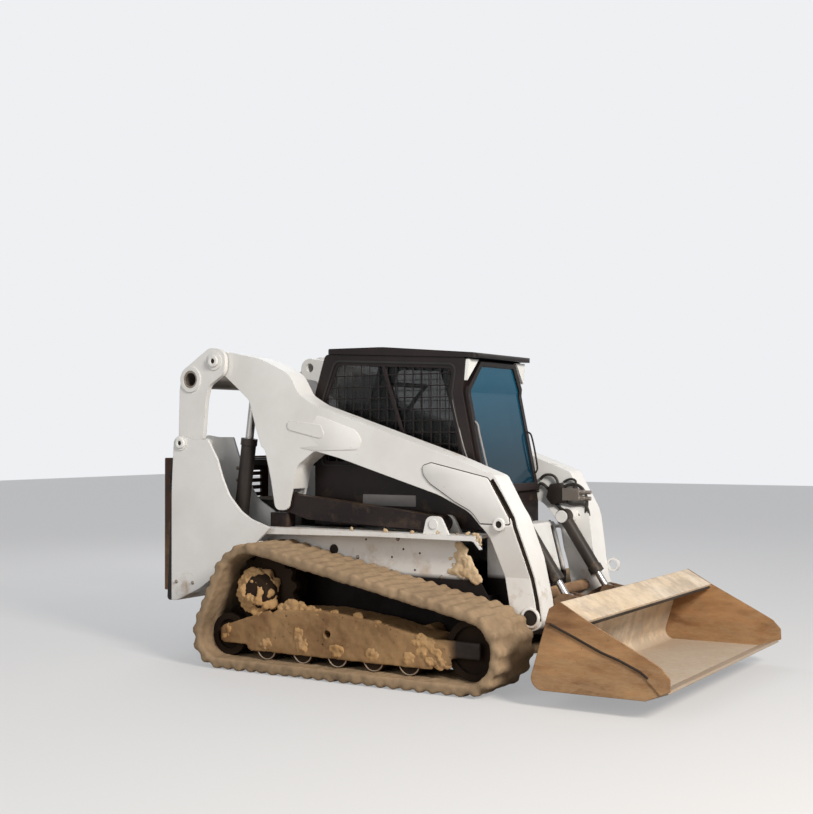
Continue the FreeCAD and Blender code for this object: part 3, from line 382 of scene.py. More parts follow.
def channel_strip(side, depth, height):
    """A strip beside the arm's front edge that follows its leaning face at a depth below it."""
    count = len(ARM_EDGE)
    piece = alone(bpy.ops.mesh.primitive_grid_add, x_subdivisions=count - 1, y_subdivisions=1)
    for i, (x, z) in enumerate(ARM_EDGE):
        before = Vector(ARM_EDGE[max(i - 1, 0)])
        after = Vector(ARM_EDGE[min(i + 1, count - 1)])
        way = (after - before).normalized()
        inward = Vector((way.y, -way.x))
        for row, offset in enumerate((CHANNEL_MIDDLE - CHANNEL_HALF, CHANNEL_MIDDLE + CHANNEL_HALF)):
            spot = Vector((x, z)) + inward * offset
            piece.data.vertices[row * count + i].co = (spot.x, side * (arm_face(z) - depth), spot.y)
    return drawn_out(piece, side * height)


# Near-black paint for the painted shade in the arm channels, the painted shadow lines round the knee doublers
# and under the bucket's flange, and the dark weld seams on the bucket's doublers.
shade_and_seam_paint = weathered("painted_shade_and_seam", (0.030, 0.022, 0.018, 1), (0.060, 0.045, 0.035, 1), RUST, chips=0.3,
                 mud_height=(-2.0, -1.0), splash=0.2, rough=0.8, shine=0.1)
for side, label in SIDES:
    arm = merged_copy("lift_arm_" + label)
    cutter = channel_strip(side, CHANNEL_DEPTH, CUTTER_HEIGHT)
    shaped(arm, "BOOLEAN", object=cutter, operation="DIFFERENCE", solver="EXACT")
    bpy.data.objects.remove(cutter)
    finished(arm, "lift_arm_" + label + "_box", cream, "lift_arms", crease=14)
    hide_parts("lift_arm_" + label)
    back = side * (ARM_FACE - DOUBLER_SINK)
    knee = plate(KNEE_DOUBLER, back, side * (ARM_FACE + KNEE_PROUD))
    rear = plate(REAR_DOUBLER, back, side * (ARM_FACE + REAR_PROUD), chamfer=0.0008)
    for point in rear.data.vertices:
        if point.co.x < REAR_DIP_START:
            point.co.y -= side * REAR_DIP
    finished(joined([knee, rear]), "arm_doublers_" + label, cream, "lift_arms")
    # A near-black strip laid on the channel's floor: painted shade in the recess.
    channel_shade = channel_strip(side, CHANNEL_DEPTH + 0.0005, CHANNEL_SHADE_COAT)
    finished(channel_shade, "arm_channel_shade_" + label, shade_and_seam_paint, "lift_arms")
    # A dark ring just below the arm's face round the knee doubler: a painted shadow line along its edges.
    knee_shadow_ring = plate(KNEE_DOUBLER, *(side * (ARM_FACE - sunk) for sunk in KNEE_SHADOW_SPAN), chamfer=0)
    shaped(knee_shadow_ring, "DISPLACE", strength=KNEE_SHADOW_GROWTH, mid_level=0.0)
    finished(knee_shadow_ring, "knee_shadow_line_" + label, shade_and_seam_paint, "lift_arms")

# Pin retainers. Turned steel collars, painted with the plate they are welded to, stand round the
# outer end of each main pin; the open middle holds a near-black disc of painted shade.
PIN_SPOTS = [  # x, z, outer face, collar radius, hole radius, body
    (-1.445, 1.996, 0.664, 0.040, 0.017, "rear_links"), (-1.700, 1.442, 0.708, 0.037, 0.016, "root"),
    (0.702, 0.963, 0.614, 0.040, 0.021, "lift_arms"), (0.864, 0.415, 0.530, 0.062, 0.046, "lift_arms")]
bare_steel = weathered("worn_steel", (0.33, 0.30, 0.27, 1), (0.22, 0.17, 0.13, 1), RUST, chips=0.5,
                       splash=0.4, rough=0.35, metal=0.7)
# Near-black with a faint mottle: painted shade for the insides of holes and bores.
hollow = bpy.data.materials.new("painted_hole_shade")
hollow.use_nodes = True
hollow_tree = hollow.node_tree
hole_shade_mottle = hollow_tree.nodes.new("ShaderNodeTexNoise")
hole_shade_mottle.inputs["Scale"].default_value = 60
hollow_tone = hollow_tree.nodes.new("ShaderNodeMix")
hollow_tone.data_type = "RGBA"
hollow_tone.inputs[6].default_value = (0.012, 0.010, 0.009, 1)
hollow_tone.inputs[7].default_value = (0.045, 0.034, 0.028, 1)
hollow_shader = hollow_tree.nodes["Principled BSDF"]
hollow_tree.links.new(hole_shade_mottle.outputs["Fac"], hollow_tone.inputs["Factor"])
hollow_tree.links.new(hollow_tone.outputs[2], hollow_shader.inputs["Base Color"])
hollow_shader.inputs["Roughness"].default_value = 0.7
hollow_shader.inputs["Specular IOR Level"].default_value = 0.1
paint_nodes(bare_steel, "link_cross_tube", "auxiliary_couplers")
# The coupler pins' ends, deep in their bores, take it as painted shade.
paint_nodes(hollow, "coupler_pins")


def turned(profile, at, aim, sides=32):
    """A turned piece: a disc drawn out along its axis through rows of (radius, height)."""
    piece = alone(bpy.ops.mesh.primitive_circle_add, vertices=sides, radius=profile[0][0], fill_type="NGON")
    piece.location.z = profile[0][1]
    bpy.ops.object.transform_apply(location=True)
    bpy.ops.object.mode_set(mode="EDIT")
    bpy.ops.mesh.select_all(action="SELECT")
    for (radius, height), (next_radius, next_height) in zip(profile, profile[1:]):
        bpy.ops.mesh.extrude_region_move(TRANSFORM_OT_translate={"value": (0, 0, next_height - height)})
        share = next_radius / radius
        bpy.ops.transform.resize(value=(share, share, 1), center_override=(0, 0, next_height))
    bpy.ops.mesh.select_all(action="SELECT")
    bpy.ops.mesh.normals_make_consistent(inside=False)
    bpy.ops.object.mode_set(mode="OBJECT")
    piece.rotation_euler = Vector(aim).to_track_quat("Z", "Y").to_euler()
    piece.location = at
    bpy.ops.object.transform_apply(location=True, rotation=True)
    return piece


for side, label in SIDES:
    for x, z, face, radius, hole, body in PIN_SPOTS:
        place = (x, side * face, z)
        ring = [(radius, -0.004), (radius, 0.009), (radius - 0.004, 0.012), (hole + 0.002, 0.012),
                (hole, 0.010), (hole, 0.003), (hole / 2, 0.003)]
        name = "pin_collar_" + label + "_" + str(int(1000 * abs(x)))
        finished(turned(ring, place, (0, side, 0)), name, cream, body)
        plug = [(hole - 0.0005, -0.002), (hole - 0.0005, 0.005), (hole - 0.004, 0.0055)]
        finished(turned(plug, place, (0, side, 0)), name + "_hole", hollow, body)

# Bolts. Plated hexagon heads on washers, dulled by dust, hold the guards to the towers and the
# service plates to the frame's sides; small holes and one wide one lie between them, each shown
# as a near-black disc of painted shade.
BOLT_SPOTS = [(-1.446, 1.268, 0.401), (-1.446, 1.185, 0.401), (-1.740, 0.497, 0.700), (-1.595, 0.497, 0.700),
              (-0.363, 0.715, 0.525), (-0.105, 0.639, 0.525), (0.258, 0.622, 0.525),
              (0.413, 0.624, 0.525), (-0.060, 0.842, 0.525)]
WASHER = [(0.013, -0.001), (0.013, 0.003), (0.012, 0.0035)]
HEXAGON = [(0.0095, 0.003), (0.0095, 0.0085), (0.0080, 0.0100)]
SMALL_HOLE = [(0.007, -0.001), (0.007, 0.0006), (0.006, 0.0008)]
WIDE_HOLE = [(0.0335, -0.010), (0.0335, -0.002), (0.033, -0.0018)]
WIDE_HOLE_SPOT = (-0.550, 0.755, 0.525)
HOLE_SPOTS = [(-0.105, 0.727, 0.525), (0.064, 0.654, 0.525), (0.100, 0.760, 0.525), (-0.300, 0.830, 0.525),
              (-0.020, 0.780, 0.525)]
for side, label in SIDES:
    outward = (0, side, 0)
    heads = []
    for x, z, face in BOLT_SPOTS:
        heads.append(turned(WASHER, (x, side * face, z), outward, 20))
        heads.append(turned(HEXAGON, (x, side * face, z), outward, 6))
    finished(joined(heads), "guard_bolts_" + label, bare_steel, "root")
    # Small and wide holes: near-black discs on the panel, painted shade in the holes.
    holes = [turned(SMALL_HOLE, (x, side * face, z), outward, 14) for x, z, face in HOLE_SPOTS]
    x, z, face = WIDE_HOLE_SPOT
    holes.append(turned(WIDE_HOLE, (x, side * face, z), outward, 28))
    finished(joined(holes), "frame_holes_" + label, hollow, "root")

# Tracks. Moulded rubber bands that run in soil, so nearly all of their surface is dried mud:
# the belt's edge is worn smooth and the gaps between the lugs are packed.
BELT_VOXEL = 0.010
PACKED = 0.025
# The dark under colour is rubber bared through the mud at random and along edges. In the creases round the
# lugs it also darkens them as painted shade.
track_finish = weathered("muddy_rubber", (0.20, 0.140, 0.088, 1), (0.35, 0.245, 0.150, 1),
                         (0.05, 0.034, 0.024, 1), chips=0.9, mud_height=(-1.0, 3.0), splash=0.55,
                         rough=0.85, grain=(70, 0.8), mud=(0.40, 0.275, 0.165, 1), shine=0.12)


def mud_relief(piece, voxel, strength, size, depth=2, level=0.5):
    """The piece's skin remeshed and roughened like dried mud."""
    shaped(piece, "REMESH", mode="VOXEL", voxel_size=voxel)
    clouds = bpy.data.textures.new(piece.name + "_clods", "CLOUDS")
    clouds.noise_scale = size
    clouds.noise_depth = depth
    shaped(piece, "DISPLACE", texture=clouds, strength=strength, mid_level=level, texture_coords="LOCAL")
    return piece


for name in ("track_left", "track_right"):
    belt = merged_copy(name)
    for growth in (PACKED, -PACKED):
        shaped(belt, "REMESH", mode="VOXEL", voxel_size=BELT_VOXEL)
        shaped(belt, "DISPLACE", strength=growth, mid_level=0.0)
    shaped(belt, "SMOOTH", factor=0.5, iterations=4)
    mud_relief(belt, 0.011, 0.016, 0.055, level=0.55)
    for point in belt.data.vertices:
        point.co.z = max(point.co.z, 0)
    finished(belt, name + "_muddy", track_finish, "root", crease=60)
    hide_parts(name)

# Undercarriage. Welded steel beams with rollers below, idlers at both ends and the drive hub:
# soil cakes on them all, thickest round the hub and along the beam's top edge.
muddy_steel = weathered("muddy_steel", (0.16, 0.080, 0.032, 1), (0.38, 0.230, 0.105, 1),
                        (0.035, 0.020, 0.012, 1), chips=1.3, mud_height=(-1.0, 2.0), splash=0.35,
                        rough=0.5, grain=(60, 0.8), mud=(0.42, 0.27, 0.13, 1), shine=0.25)
caked = weathered("caked_soil", (0.36, 0.205, 0.085, 1), (0.50, 0.31, 0.15, 1), (0.15, 0.075, 0.03, 1),
                  chips=0.55, mud_height=(-1.0, 2.0), splash=0.6, rough=0.9, grain=(45, 1.2), shine=0.1)
# Rollers, idlers and sprockets sit deep inside the track loops and are painted near-black: painted shade.
shaded = weathered("shaded_steel", (0.016, 0.010, 0.007, 1), (0.034, 0.021, 0.013, 1), (0.10, 0.06, 0.03, 1),
                   chips=0.5, mud_height=(-2.0, -1.0), splash=0.2, rough=0.8, shine=0.08)
paint_nodes(shaded, "road_rollers", "idlers", "sprockets")
ROLLER_SPOTS = [-0.821, -0.539, -0.275, -0.012, 0.241]
ROLLER_RIM = dict(major_radius=0.0700, minor_radius=0.0045, major_segments=40, minor_segments=8)
RIM_STATION = 0.8815
RIM_HEIGHT = 0.147
HUB_RING = dict(major_radius=0.112, minor_radius=0.046, major_segments=96, minor_segments=32)
HUB_MIDDLE = (-0.918, 0.845, 0.494)
HUB_CORE = [(0.100, 0.860), (0.098, 0.906), (0.070, 0.914), (0.020, 0.906)]
CORE_MIDDLE = (-0.925, 0, 0.486)
UPRIGHT = (math.radians(90), 0, 0)
SHADED = (0.020, 0.012, 0.008, 1)
CLOD_SHAPE = (1.30, 0.42, 1.0)
CLOD_SPOTS = [  # x, z, distance out, radius
    (-0.627, 0.430, 0.880, 0.042), (-0.560, 0.418, 0.872, 0.036), (-0.480, 0.412, 0.874, 0.030),
    (-0.700, 0.408, 0.876, 0.030), (-0.300, 0.398, 0.876, 0.026), (-0.130, 0.392, 0.872, 0.028),
    (0.010, 0.352, 0.880, 0.034), (0.075, 0.340, 0.882, 0.026), (0.330, 0.300, 0.884, 0.034),
    (0.385, 0.262, 0.886, 0.040), (0.430, 0.226, 0.886, 0.036), (0.470, 0.190, 0.886, 0.030),
    (0.395, 0.175, 0.890, 0.030), (0.500, 0.160, 0.886, 0.026), (-1.120, 0.250, 0.884, 0.034),
    (-1.150, 0.205, 0.884, 0.030), (-0.821, 0.178, 0.884, 0.044), (-0.539, 0.180, 0.886, 0.046),
    (-0.275, 0.176, 0.886, 0.046), (-0.012, 0.176, 0.886, 0.044), (0.241, 0.176, 0.886, 0.042),
    (-0.555, 0.270, 0.884, 0.040), (-0.545, 0.225, 0.884, 0.046), (0.330, 0.222, 0.886, 0.036),
    (0.170, 0.296, 0.882, 0.024), (-0.420, 0.395, 0.880, 0.030), (0.300, 0.265, 0.884, 0.040),
    (0.450, 0.150, 0.884, 0.030)]


def goes_over(finish, axis, start, end, colour, ragged=0.0):
    """The finish goes over to another colour between two stations along one axis of the machine."""
    tree = finish.node_tree
    shader = tree.nodes["Principled BSDF"]
    paint = shader.inputs["Base Color"].links[0].from_socket
    place = tree.nodes.new("ShaderNodeTexCoord")
    split = tree.nodes.new("ShaderNodeSeparateXYZ")
    noise = tree.nodes.new("ShaderNodeTexNoise")
    noise.inputs["Scale"].default_value = 12
    noise.inputs["Detail"].default_value = 8
    sway = tree.nodes.new("ShaderNodeMath")
    sway.operation = "MULTIPLY_ADD"
    sway.inputs[1].default_value = ragged
    ramp = tree.nodes.new("ShaderNodeMapRange")
    ramp.inputs["From Min"].default_value = start + ragged / 2
    ramp.inputs["From Max"].default_value = end + ragged / 2
    mix = tree.nodes.new("ShaderNodeMix")
    mix.data_type = "RGBA"
    mix.inputs[7].default_value = colour
    tree.links.new(place.outputs["Object"], split.inputs[0])
    tree.links.new(place.outputs["Object"], noise.inputs["Vector"])
    tree.links.new(noise.outputs["Fac"], sway.inputs[0])
    tree.links.new(split.outputs[axis], sway.inputs[2])
    tree.links.new(sway.outputs[0], ramp.inputs["Value"])
    tree.links.new(ramp.outputs["Result"], mix.inputs["Factor"])
    tree.links.new(paint, mix.inputs[6])
    tree.links.new(mix.outputs[2], shader.inputs["Base Color"])
    return finish


def clods(spots, side):
    """Lumps of soil: balls pressed flat against the steel and roughened."""
    lumps = []
    for x, z, out, radius in spots:
        lump = alone(bpy.ops.mesh.primitive_ico_sphere_add, subdivisions=4, radius=radius,
                     location=(x, side * out, z), scale=CLOD_SHAPE)
        bpy.ops.object.transform_apply(location=True, scale=True)
        lumps.append(lump)
    return mud_relief(joined(lumps), 0.006, 0.026, 0.036, level=0.5)


beam = merged_copy("track_frames")
mud_relief(beam, 0.009, 0.010, 0.05, level=0.45)
# Ahead of x 0.5 m, round the front idler's carrier, the beam goes near-black: painted shade.
goes_over(muddy_steel, "X", 0.50, 0.56, SHADED)
finished(beam, "track_frames_muddy", muddy_steel, "root", crease=60)
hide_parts("track_frames")
for side, label in SIDES:
    finished(clods(CLOD_SPOTS, side), "beam_soil_" + label, caked, "root", crease=70)
    x, out, z = HUB_MIDDLE
    hub = alone(bpy.ops.mesh.primitive_torus_add, location=(x, side * out, z), rotation=UPRIGHT, **HUB_RING)
    bpy.ops.object.transform_apply(location=True, rotation=True)
    core = turned(HUB_CORE, CORE_MIDDLE, (0, side, 0), 48)
    hub = mud_relief(joined([hub, core]), 0.007, 0.080, 0.060, depth=2, level=0.55)
    finished(hub, "hub_soil_" + label, caked, "root", crease=70)
    rims = [alone(bpy.ops.mesh.primitive_torus_add, location=(x, side * RIM_STATION, RIM_HEIGHT),
                  rotation=UPRIGHT, **ROLLER_RIM) for x in ROLLER_SPOTS]
    finished(joined(rims), "roller_rims_" + label, bare_steel, "root")

# Main frame, deck and right tower. Welded plate in cream enamel on its upper part; below about
# 0.61 m, where the tracks hide it, it goes near-black as painted shade. Soil cakes on the deck's
# front edge and the side panel.
BLACK = (0.010, 0.007, 0.007, 1)
BLACK_SHADE = (0.024, 0.016, 0.015, 1)
GREY_PRIMER = (0.16, 0.13, 0.11, 1)
frame_paint_and_shade = weathered("frame_enamel_and_shade", (0.76, 0.75, 0.73, 1), (0.66, 0.64, 0.61, 1), RUST, chips=0.5,
                        mud_height=(0.20, 1.1), splash=0.55, shine=0.15)
# Below about 0.61 m the frame is painted near-black: painted shade inside the track loops.
paint_nodes(goes_over(frame_paint_and_shade, "Z", 0.64, 0.61, (0.010, 0.007, 0.006, 1)), "main_frame")
tower_paint = weathered("tower_enamel", CREAM, CREAM_SHADE, RUST, chips=0.5, mud_height=(0.15, 0.80),
                        splash=0.7)
paint_nodes(goes_over(tower_paint, "X", -1.781, -1.785, BLACK), "rear_tower_right")
deck_mud = weathered("deck_mud", (0.64, 0.50, 0.33, 1), (0.50, 0.36, 0.21, 1), (0.12, 0.07, 0.04, 1),
                     chips=1.1, mud_height=(-1.0, 2.0), splash=0.8, rough=0.9, grain=(60, 0.8), shine=0.1)
DECK_CLODS = [(0.585, 0.870, 0.647, 0.016), (0.592, 0.845, 0.648, 0.013), (0.560, 0.899, 0.640, 0.018),
              (0.505, 0.904, 0.638, 0.014), (0.430, 0.903, 0.641, 0.012), (0.300, 0.902, 0.640, 0.013),
              (0.120, 0.902, 0.642, 0.011), (-0.080, 0.902, 0.641, 0.014), (-0.330, 0.902, 0.640, 0.012)]
PANEL_CLODS = [(0.385, 0.820, 0.527, 0.026), (0.405, 0.785, 0.527, 0.032), (0.390, 0.735, 0.527, 0.026),
               (0.425, 0.735, 0.527, 0.034), (0.445, 0.700, 0.527, 0.032), (0.470, 0.665, 0.527, 0.036),
               (0.430, 0.680, 0.527, 0.022), (0.500, 0.620, 0.527, 0.034), (0.365, 0.770, 0.527, 0.016),
               (0.350, 0.700, 0.527, 0.014), (0.400, 0.660, 0.527, 0.018), (0.320, 0.740, 0.527, 0.010),
               (0.385, 0.695, 0.527, 0.030), (0.360, 0.665, 0.527, 0.030), (0.415, 0.650, 0.527, 0.034),
               (0.455, 0.655, 0.527, 0.034), (0.375, 0.760, 0.527, 0.024), (0.325, 0.655, 0.527, 0.022)]
for side, label in SIDES:
    lumps = clods(DECK_CLODS + PANEL_CLODS, side)
    finished(lumps, "deck_mud_" + label, deck_mud, "root", crease=70)

# Black panels: cab, roof, door frame, screens, tailgate, grille, links and coupler. Black enamel on
# pressed sheet, browned by rust on tailgate and coupler; a bare label plate is riveted to the side.
black = weathered("black_enamel", BLACK, BLACK_SHADE, GREY_PRIMER, chips=0.3, mud_height=(0.3, 1.5),
                  splash=0.12, rough=0.25, shine=0.16)
rusty_black = weathered("brown_black_enamel", (0.045, 0.022, 0.016, 1), (0.085, 0.045, 0.032, 1), RUST,
                        chips=0.5, mud_height=(0.3, 1.5), splash=0.35, rough=0.45, shine=0.15)
paint_nodes(black, "rear_grille", "cab_shell", "cab_roof", "cab_door", "control_links", "arm_stops",
            "side_screens")
paint_nodes(rusty_black, "tailgate", "coupler")
paint_nodes(cream, "hose_ring")
iron = weathered("engine_iron", (0.030, 0.028, 0.026, 1), (0.055, 0.047, 0.040, 1), RUST, chips=0.4,
                 mud_height=(0.2, 1.4), splash=0.4, rough=0.6, shine=0.15)
paint_nodes(iron, "engine_block")
# Grey film for the label plate and the door handle, also used for the painted highlight rods on the front
# posts.
label_and_highlight_grey = weathered("label_film_and_highlight", (0.30, 0.28, 0.27, 1), (0.22, 0.205, 0.195, 1), BLACK, chips=0.2,
                         mud_height=(-2.0, -1.0), splash=0.2, rough=0.5)
LABEL_PLATE = [(-0.416, 1.037, 0.008), (-0.416, 1.110, 0.008), (-0.012, 1.110, 0.008),
               (-0.012, 1.037, 0.008)]
label_plate = plate(LABEL_PLATE, -0.3845, -0.3865, chamfer=0.0005)
finished(label_plate, "label_plate", label_and_highlight_grey, "root")

# Cab trim. Rubber gaskets lie round the side windows, a light grey rod along each front post is a
# painted highlight on the post's edge, and the door carries a bright pull handle on one edge and a
# thin bent rod on the other.
gasket_rubber = weathered("gasket_rubber", (0.014, 0.014, 0.014, 1), (0.035, 0.032, 0.030, 1), GREY_PRIMER,
                          chips=0.1, mud_height=(-2.0, -1.0), splash=0.3, rough=0.75)
GASKET_GROWTH = 0.012
GASKET_WIDTH = 0.014
GASKET_SPAN = (0.3835, 0.3895)
SIDE_WINDOW = [(-0.735, 1.300, 0.040), (-0.745, 1.700, 0.040), (-0.630, 1.978, 0.060), (0.278, 1.930, 0.050),
               (0.248, 1.750, 0.060), (0.350, 1.290, 0.040)]
HANDLE = [(0.395, -0.345, 1.575), (0.418, -0.350, 1.565), (0.425, -0.352, 1.520), (0.448, -0.352, 1.430),
          (0.478, -0.352, 1.310), (0.488, -0.350, 1.272), (0.462, -0.345, 1.262)]
POST_HIGHLIGHT = [(0.258, 1.715), (0.272, 1.650), (0.290, 1.580), (0.333, 1.425), (0.356, 1.360), (0.382, 1.302)]
GRAB_ROD = [(0.406, 0.352, 1.512), (0.428, 0.354, 1.506), (0.440, 0.356, 1.480), (0.460, 0.358, 1.391),
            (0.476, 0.358, 1.300), (0.482, 0.356, 1.255), (0.462, 0.352, 1.236)]


def pipe(points, radius, order=4):
    """A round rod or hose along a path of five or more points."""
    piece = alone(bpy.ops.curve.primitive_nurbs_path_add)
    path = piece.data.splines[0]
    path.points.add(len(points) - len(path.points))
    for point, place in zip(path.points, points):
        point.co = (*place, 1)
    path.order_u = order
    path.use_endpoint_u = True
    path.resolution_u = 6
    piece.data.dimensions = "3D"
    piece.data.bevel_depth = radius
    piece.data.bevel_resolution = 3
    piece.data.use_fill_caps = True
    bpy.ops.object.convert(target="MESH")
    return bpy.context.object


def strip(rows, width, near, far):
    """A flat ring in the side plane, just inside an outline, drawn out across the machine."""
    piece = outlined(rows, near)
    bpy.ops.object.mode_set(mode="EDIT")
    bpy.ops.mesh.select_all(action="SELECT")
    bpy.ops.mesh.inset(thickness=width)
    bpy.ops.mesh.delete(type="FACE")
    bpy.ops.object.mode_set(mode="OBJECT")
    return drawn_out(piece, far - near)


gasket_rows = []
for x, z, radius in SIDE_WINDOW:
    ahead = GASKET_GROWTH if x > 0 else -GASKET_GROWTH
    above = GASKET_GROWTH if z > 1.9 else -GASKET_GROWTH if z < 1.4 else 0
    gasket_rows.append((x + ahead, z + above, radius))
for side, label in SIDES:
    gasket = strip(gasket_rows, GASKET_WIDTH, *(side * station for station in GASKET_SPAN))
    shaped(gasket, "BEVEL", width=0.002, segments=2, limit_method="ANGLE")
    finished(gasket, "window_gasket_" + label, gasket_rubber, "root")
    # A light grey rod along the front post: a painted highlight of the post's edge.
    trim = pipe([(x, side * 0.3855, z) for x, z in POST_HIGHLIGHT], 0.0045, order=3)
    finished(trim, "post_highlight_" + label, label_and_highlight_grey, "root", crease=60)
finished(pipe(HANDLE, 0.0065, order=3), "door_handle", label_and_highlight_grey, "cab_door", crease=60)
finished(pipe(GRAB_ROD, 0.006, order=3), "door_rod", black, "cab_door", crease=60)

# Rear lamps. Moulded red lenses snapped flush into the tailgate's two pockets and dusty like the
# sheet round them.
lens_finish = weathered("red_lens", (0.30, 0.012, 0.010, 1), (0.20, 0.010, 0.008, 1), (0.10, 0.05, 0.03, 1),
                        chips=0.2, mud_height=(0.3, 1.6), splash=0.4, rough=0.25)
LENS_STATION = 0.540
LENS_HALF = 0.039
REAR_LENS = [(-1.8965, 1.136, 0.004), (-1.8965, 1.224, 0.004), (-1.8825, 1.224, 0.001),
             (-1.8825, 1.136, 0.001)]
for side, label in SIDES:
    middle = side * LENS_STATION
    lens = plate(REAR_LENS, middle - LENS_HALF, middle + LENS_HALF, chamfer=0.003)
    finished(lens, "rear_lens_" + label, lens_finish, "tailgate")

# Glass and lamps. Tinted side and rear panes, a blue-green door pane, and white plastic lamp
# wedges in the upper corners of the door.


def pane(name, colour, cover):
    """Glass seen as a dark glossy film that lets part of the light through."""
    finish = bpy.data.materials.new(name)
    finish.use_nodes = True
    tree = finish.node_tree
    shader = tree.nodes["Principled BSDF"]
    streaks = tree.nodes.new("ShaderNodeTexNoise")
    streaks.inputs["Scale"].default_value = 9
    film = tree.nodes.new("ShaderNodeMapRange")
    film.inputs["To Min"].default_value = 0.04
    film.inputs["To Max"].default_value = 0.22
    tree.links.new(streaks.outputs["Fac"], film.inputs["Value"])
    tree.links.new(film.outputs["Result"], shader.inputs["Roughness"])
    # The tint darkens towards the bottom of the pane, to about a third at 1.30 m: painted shade.
    heights = tree.nodes.new("ShaderNodeSeparateXYZ")
    place = tree.nodes.new("ShaderNodeTexCoord")
    ramp = tree.nodes.new("ShaderNodeMapRange")
    ramp.inputs["From Min"].default_value = 1.30
    ramp.inputs["From Max"].default_value = 1.85
    tint = tree.nodes.new("ShaderNodeMix")
    tint.data_type = "RGBA"
    tint.inputs[6].default_value = tuple(0.35 * value for value in colour[:3]) + (1,)
    tint.inputs[7].default_value = colour
    tree.links.new(place.outputs["Object"], heights.inputs[0])
    tree.links.new(heights.outputs["Z"], ramp.inputs["Value"])
    tree.links.new(ramp.outputs["Result"], tint.inputs["Factor"])
    tree.links.new(tint.outputs[2], shader.inputs["Base Color"])
    shader.inputs["Specular IOR Level"].default_value = 0.25
    shader.inputs["Alpha"].default_value = cover
    return finish


paint_nodes(pane("cab_glass", (0.010, 0.012, 0.012, 1), 0.50), "side_glass", "rear_glass")
paint_nodes(pane("door_glass", (0.006, 0.085, 0.150, 1), 0.86), "door_glass")
lamp_finish = weathered("lamp_lens", (0.82, 0.82, 0.79, 1), (0.70, 0.69, 0.66, 1), (0.45, 0.44, 0.42, 1),
                        chips=0.1, mud_height=(-2.0, -1.0), splash=0.2, rough=0.2)
paint_nodes(lamp_finish, "corner_lamps")

# Seat and controls. Black vinyl cushions, sewn tight over foam, on a steel pedestal bolted to the
# floor; the foam presses the covers out a little. Levers, consoles and seat bar are moulded plastic.
vinyl = weathered("seat_vinyl", (0.020, 0.019, 0.018, 1), (0.035, 0.032, 0.030, 1), GREY_PRIMER, chips=0.1,
                  mud_height=(-2.0, -1.0), splash=0.15, rough=0.55)
CUSHION = [(-0.592, 1.186, 0.015), (-0.108, 1.186, 0.030), (-0.092, 1.262, 0.035), (-0.555, 1.282, 0.030)]
BACKREST = [(-0.592, 1.300, 0.030), (-0.530, 1.300, 0.020), (-0.606, 1.722, 0.025), (-0.682, 1.722, 0.030),
            (-0.684, 1.400, 0.050)]
PEDESTAL = [(-0.560, 0.944, 0.01), (-0.560, 1.180, 0.01), (-0.140, 1.180, 0.01), (-0.140, 0.944, 0.01)]
PEDESTAL_HALF = 0.200
CUSHION_HALF = 0.232
BACKREST_HALF = 0.222
PADDING_PRESSURE = 4
PADDING_FRAMES = 20
PADDING_SWELL = 0.012


def padding(rows, half, name):
    """A cushion blown up by its filling until the cover is tight."""
    cushion = plate(rows, -half, half, chamfer=0.012)
    shaped(cushion, "REMESH", mode="VOXEL", voxel_size=0.006)
    flat = [point.co.copy() for point in cushion.data.vertices]
    cover = cushion.modifiers.new("cover", "CLOTH")
    cover.settings.use_pressure = True
    cover.settings.uniform_pressure_force = PADDING_PRESSURE
    cover.settings.effector_weights.gravity = 0
    for moment in range(1, PADDING_FRAMES + 1):
        bpy.context.scene.frame_set(moment)
    bpy.ops.object.modifier_apply(modifier=cover.name)
    bpy.context.scene.frame_set(1)
    for point, start in zip(cushion.data.vertices, flat):
        swell = point.co - start
        if swell.length > PADDING_SWELL:
            point.co = start + swell * PADDING_SWELL / swell.length
    shaped(cushion, "SUBSURF", levels=1, render_levels=1)
    finished(cushion, name, vinyl, "root", crease=60)
    return cushion


pedestal = plate(PEDESTAL, -PEDESTAL_HALF, PEDESTAL_HALF, chamfer=0.004)
finished(pedestal, "seat_pedestal", iron, "root")
cushion = padding(CUSHION, CUSHION_HALF, "seat_cushion")
backrest = padding(BACKREST, BACKREST_HALF, "seat_backrest")
for piece in (pedestal, cushion, backrest):
    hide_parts("seat")
cab_plastic = weathered("cab_plastic", (0.030, 0.030, 0.030, 1), (0.050, 0.048, 0.045, 1), GREY_PRIMER,
                        chips=0.1, mud_height=(-2.0, -1.0), splash=0.2, rough=0.5)
paint_nodes(cab_plastic, "controls", "seat_bar")

# Cylinders, rods and torque tube. Black-painted barrels under a coat of dust; chromed rods stay
# bright where the seals wipe them. The tube between the arms' legs has lost its paint to rust.
cylinder_finish = weathered("dusty_cylinder", (0.018, 0.014, 0.012, 1), (0.045, 0.034, 0.027, 1),
                            GREY_PRIMER, chips=0.4, splash=0.4, rough=0.4, shine=0.25)
paint_nodes(cylinder_finish, "lift_barrels", "tilt_barrels")
chrome = weathered("rod_chrome", (0.42, 0.41, 0.40, 1), (0.30, 0.28, 0.26, 1), (0.20, 0.16, 0.12, 1),
                   chips=0.2, mud_height=(-1.0, 1.0), splash=0.5, rough=0.18, metal=1.0)
paint_nodes(chrome, "lift_rods", "tilt_rods")
tube_finish = weathered("rusty_tube", (0.16, 0.085, 0.045, 1), (0.25, 0.15, 0.085, 1), (0.07, 0.04, 0.025, 1),
                        chips=0.8, splash=0.7, rough=0.7)
paint_nodes(tube_finish, "torque_tube")

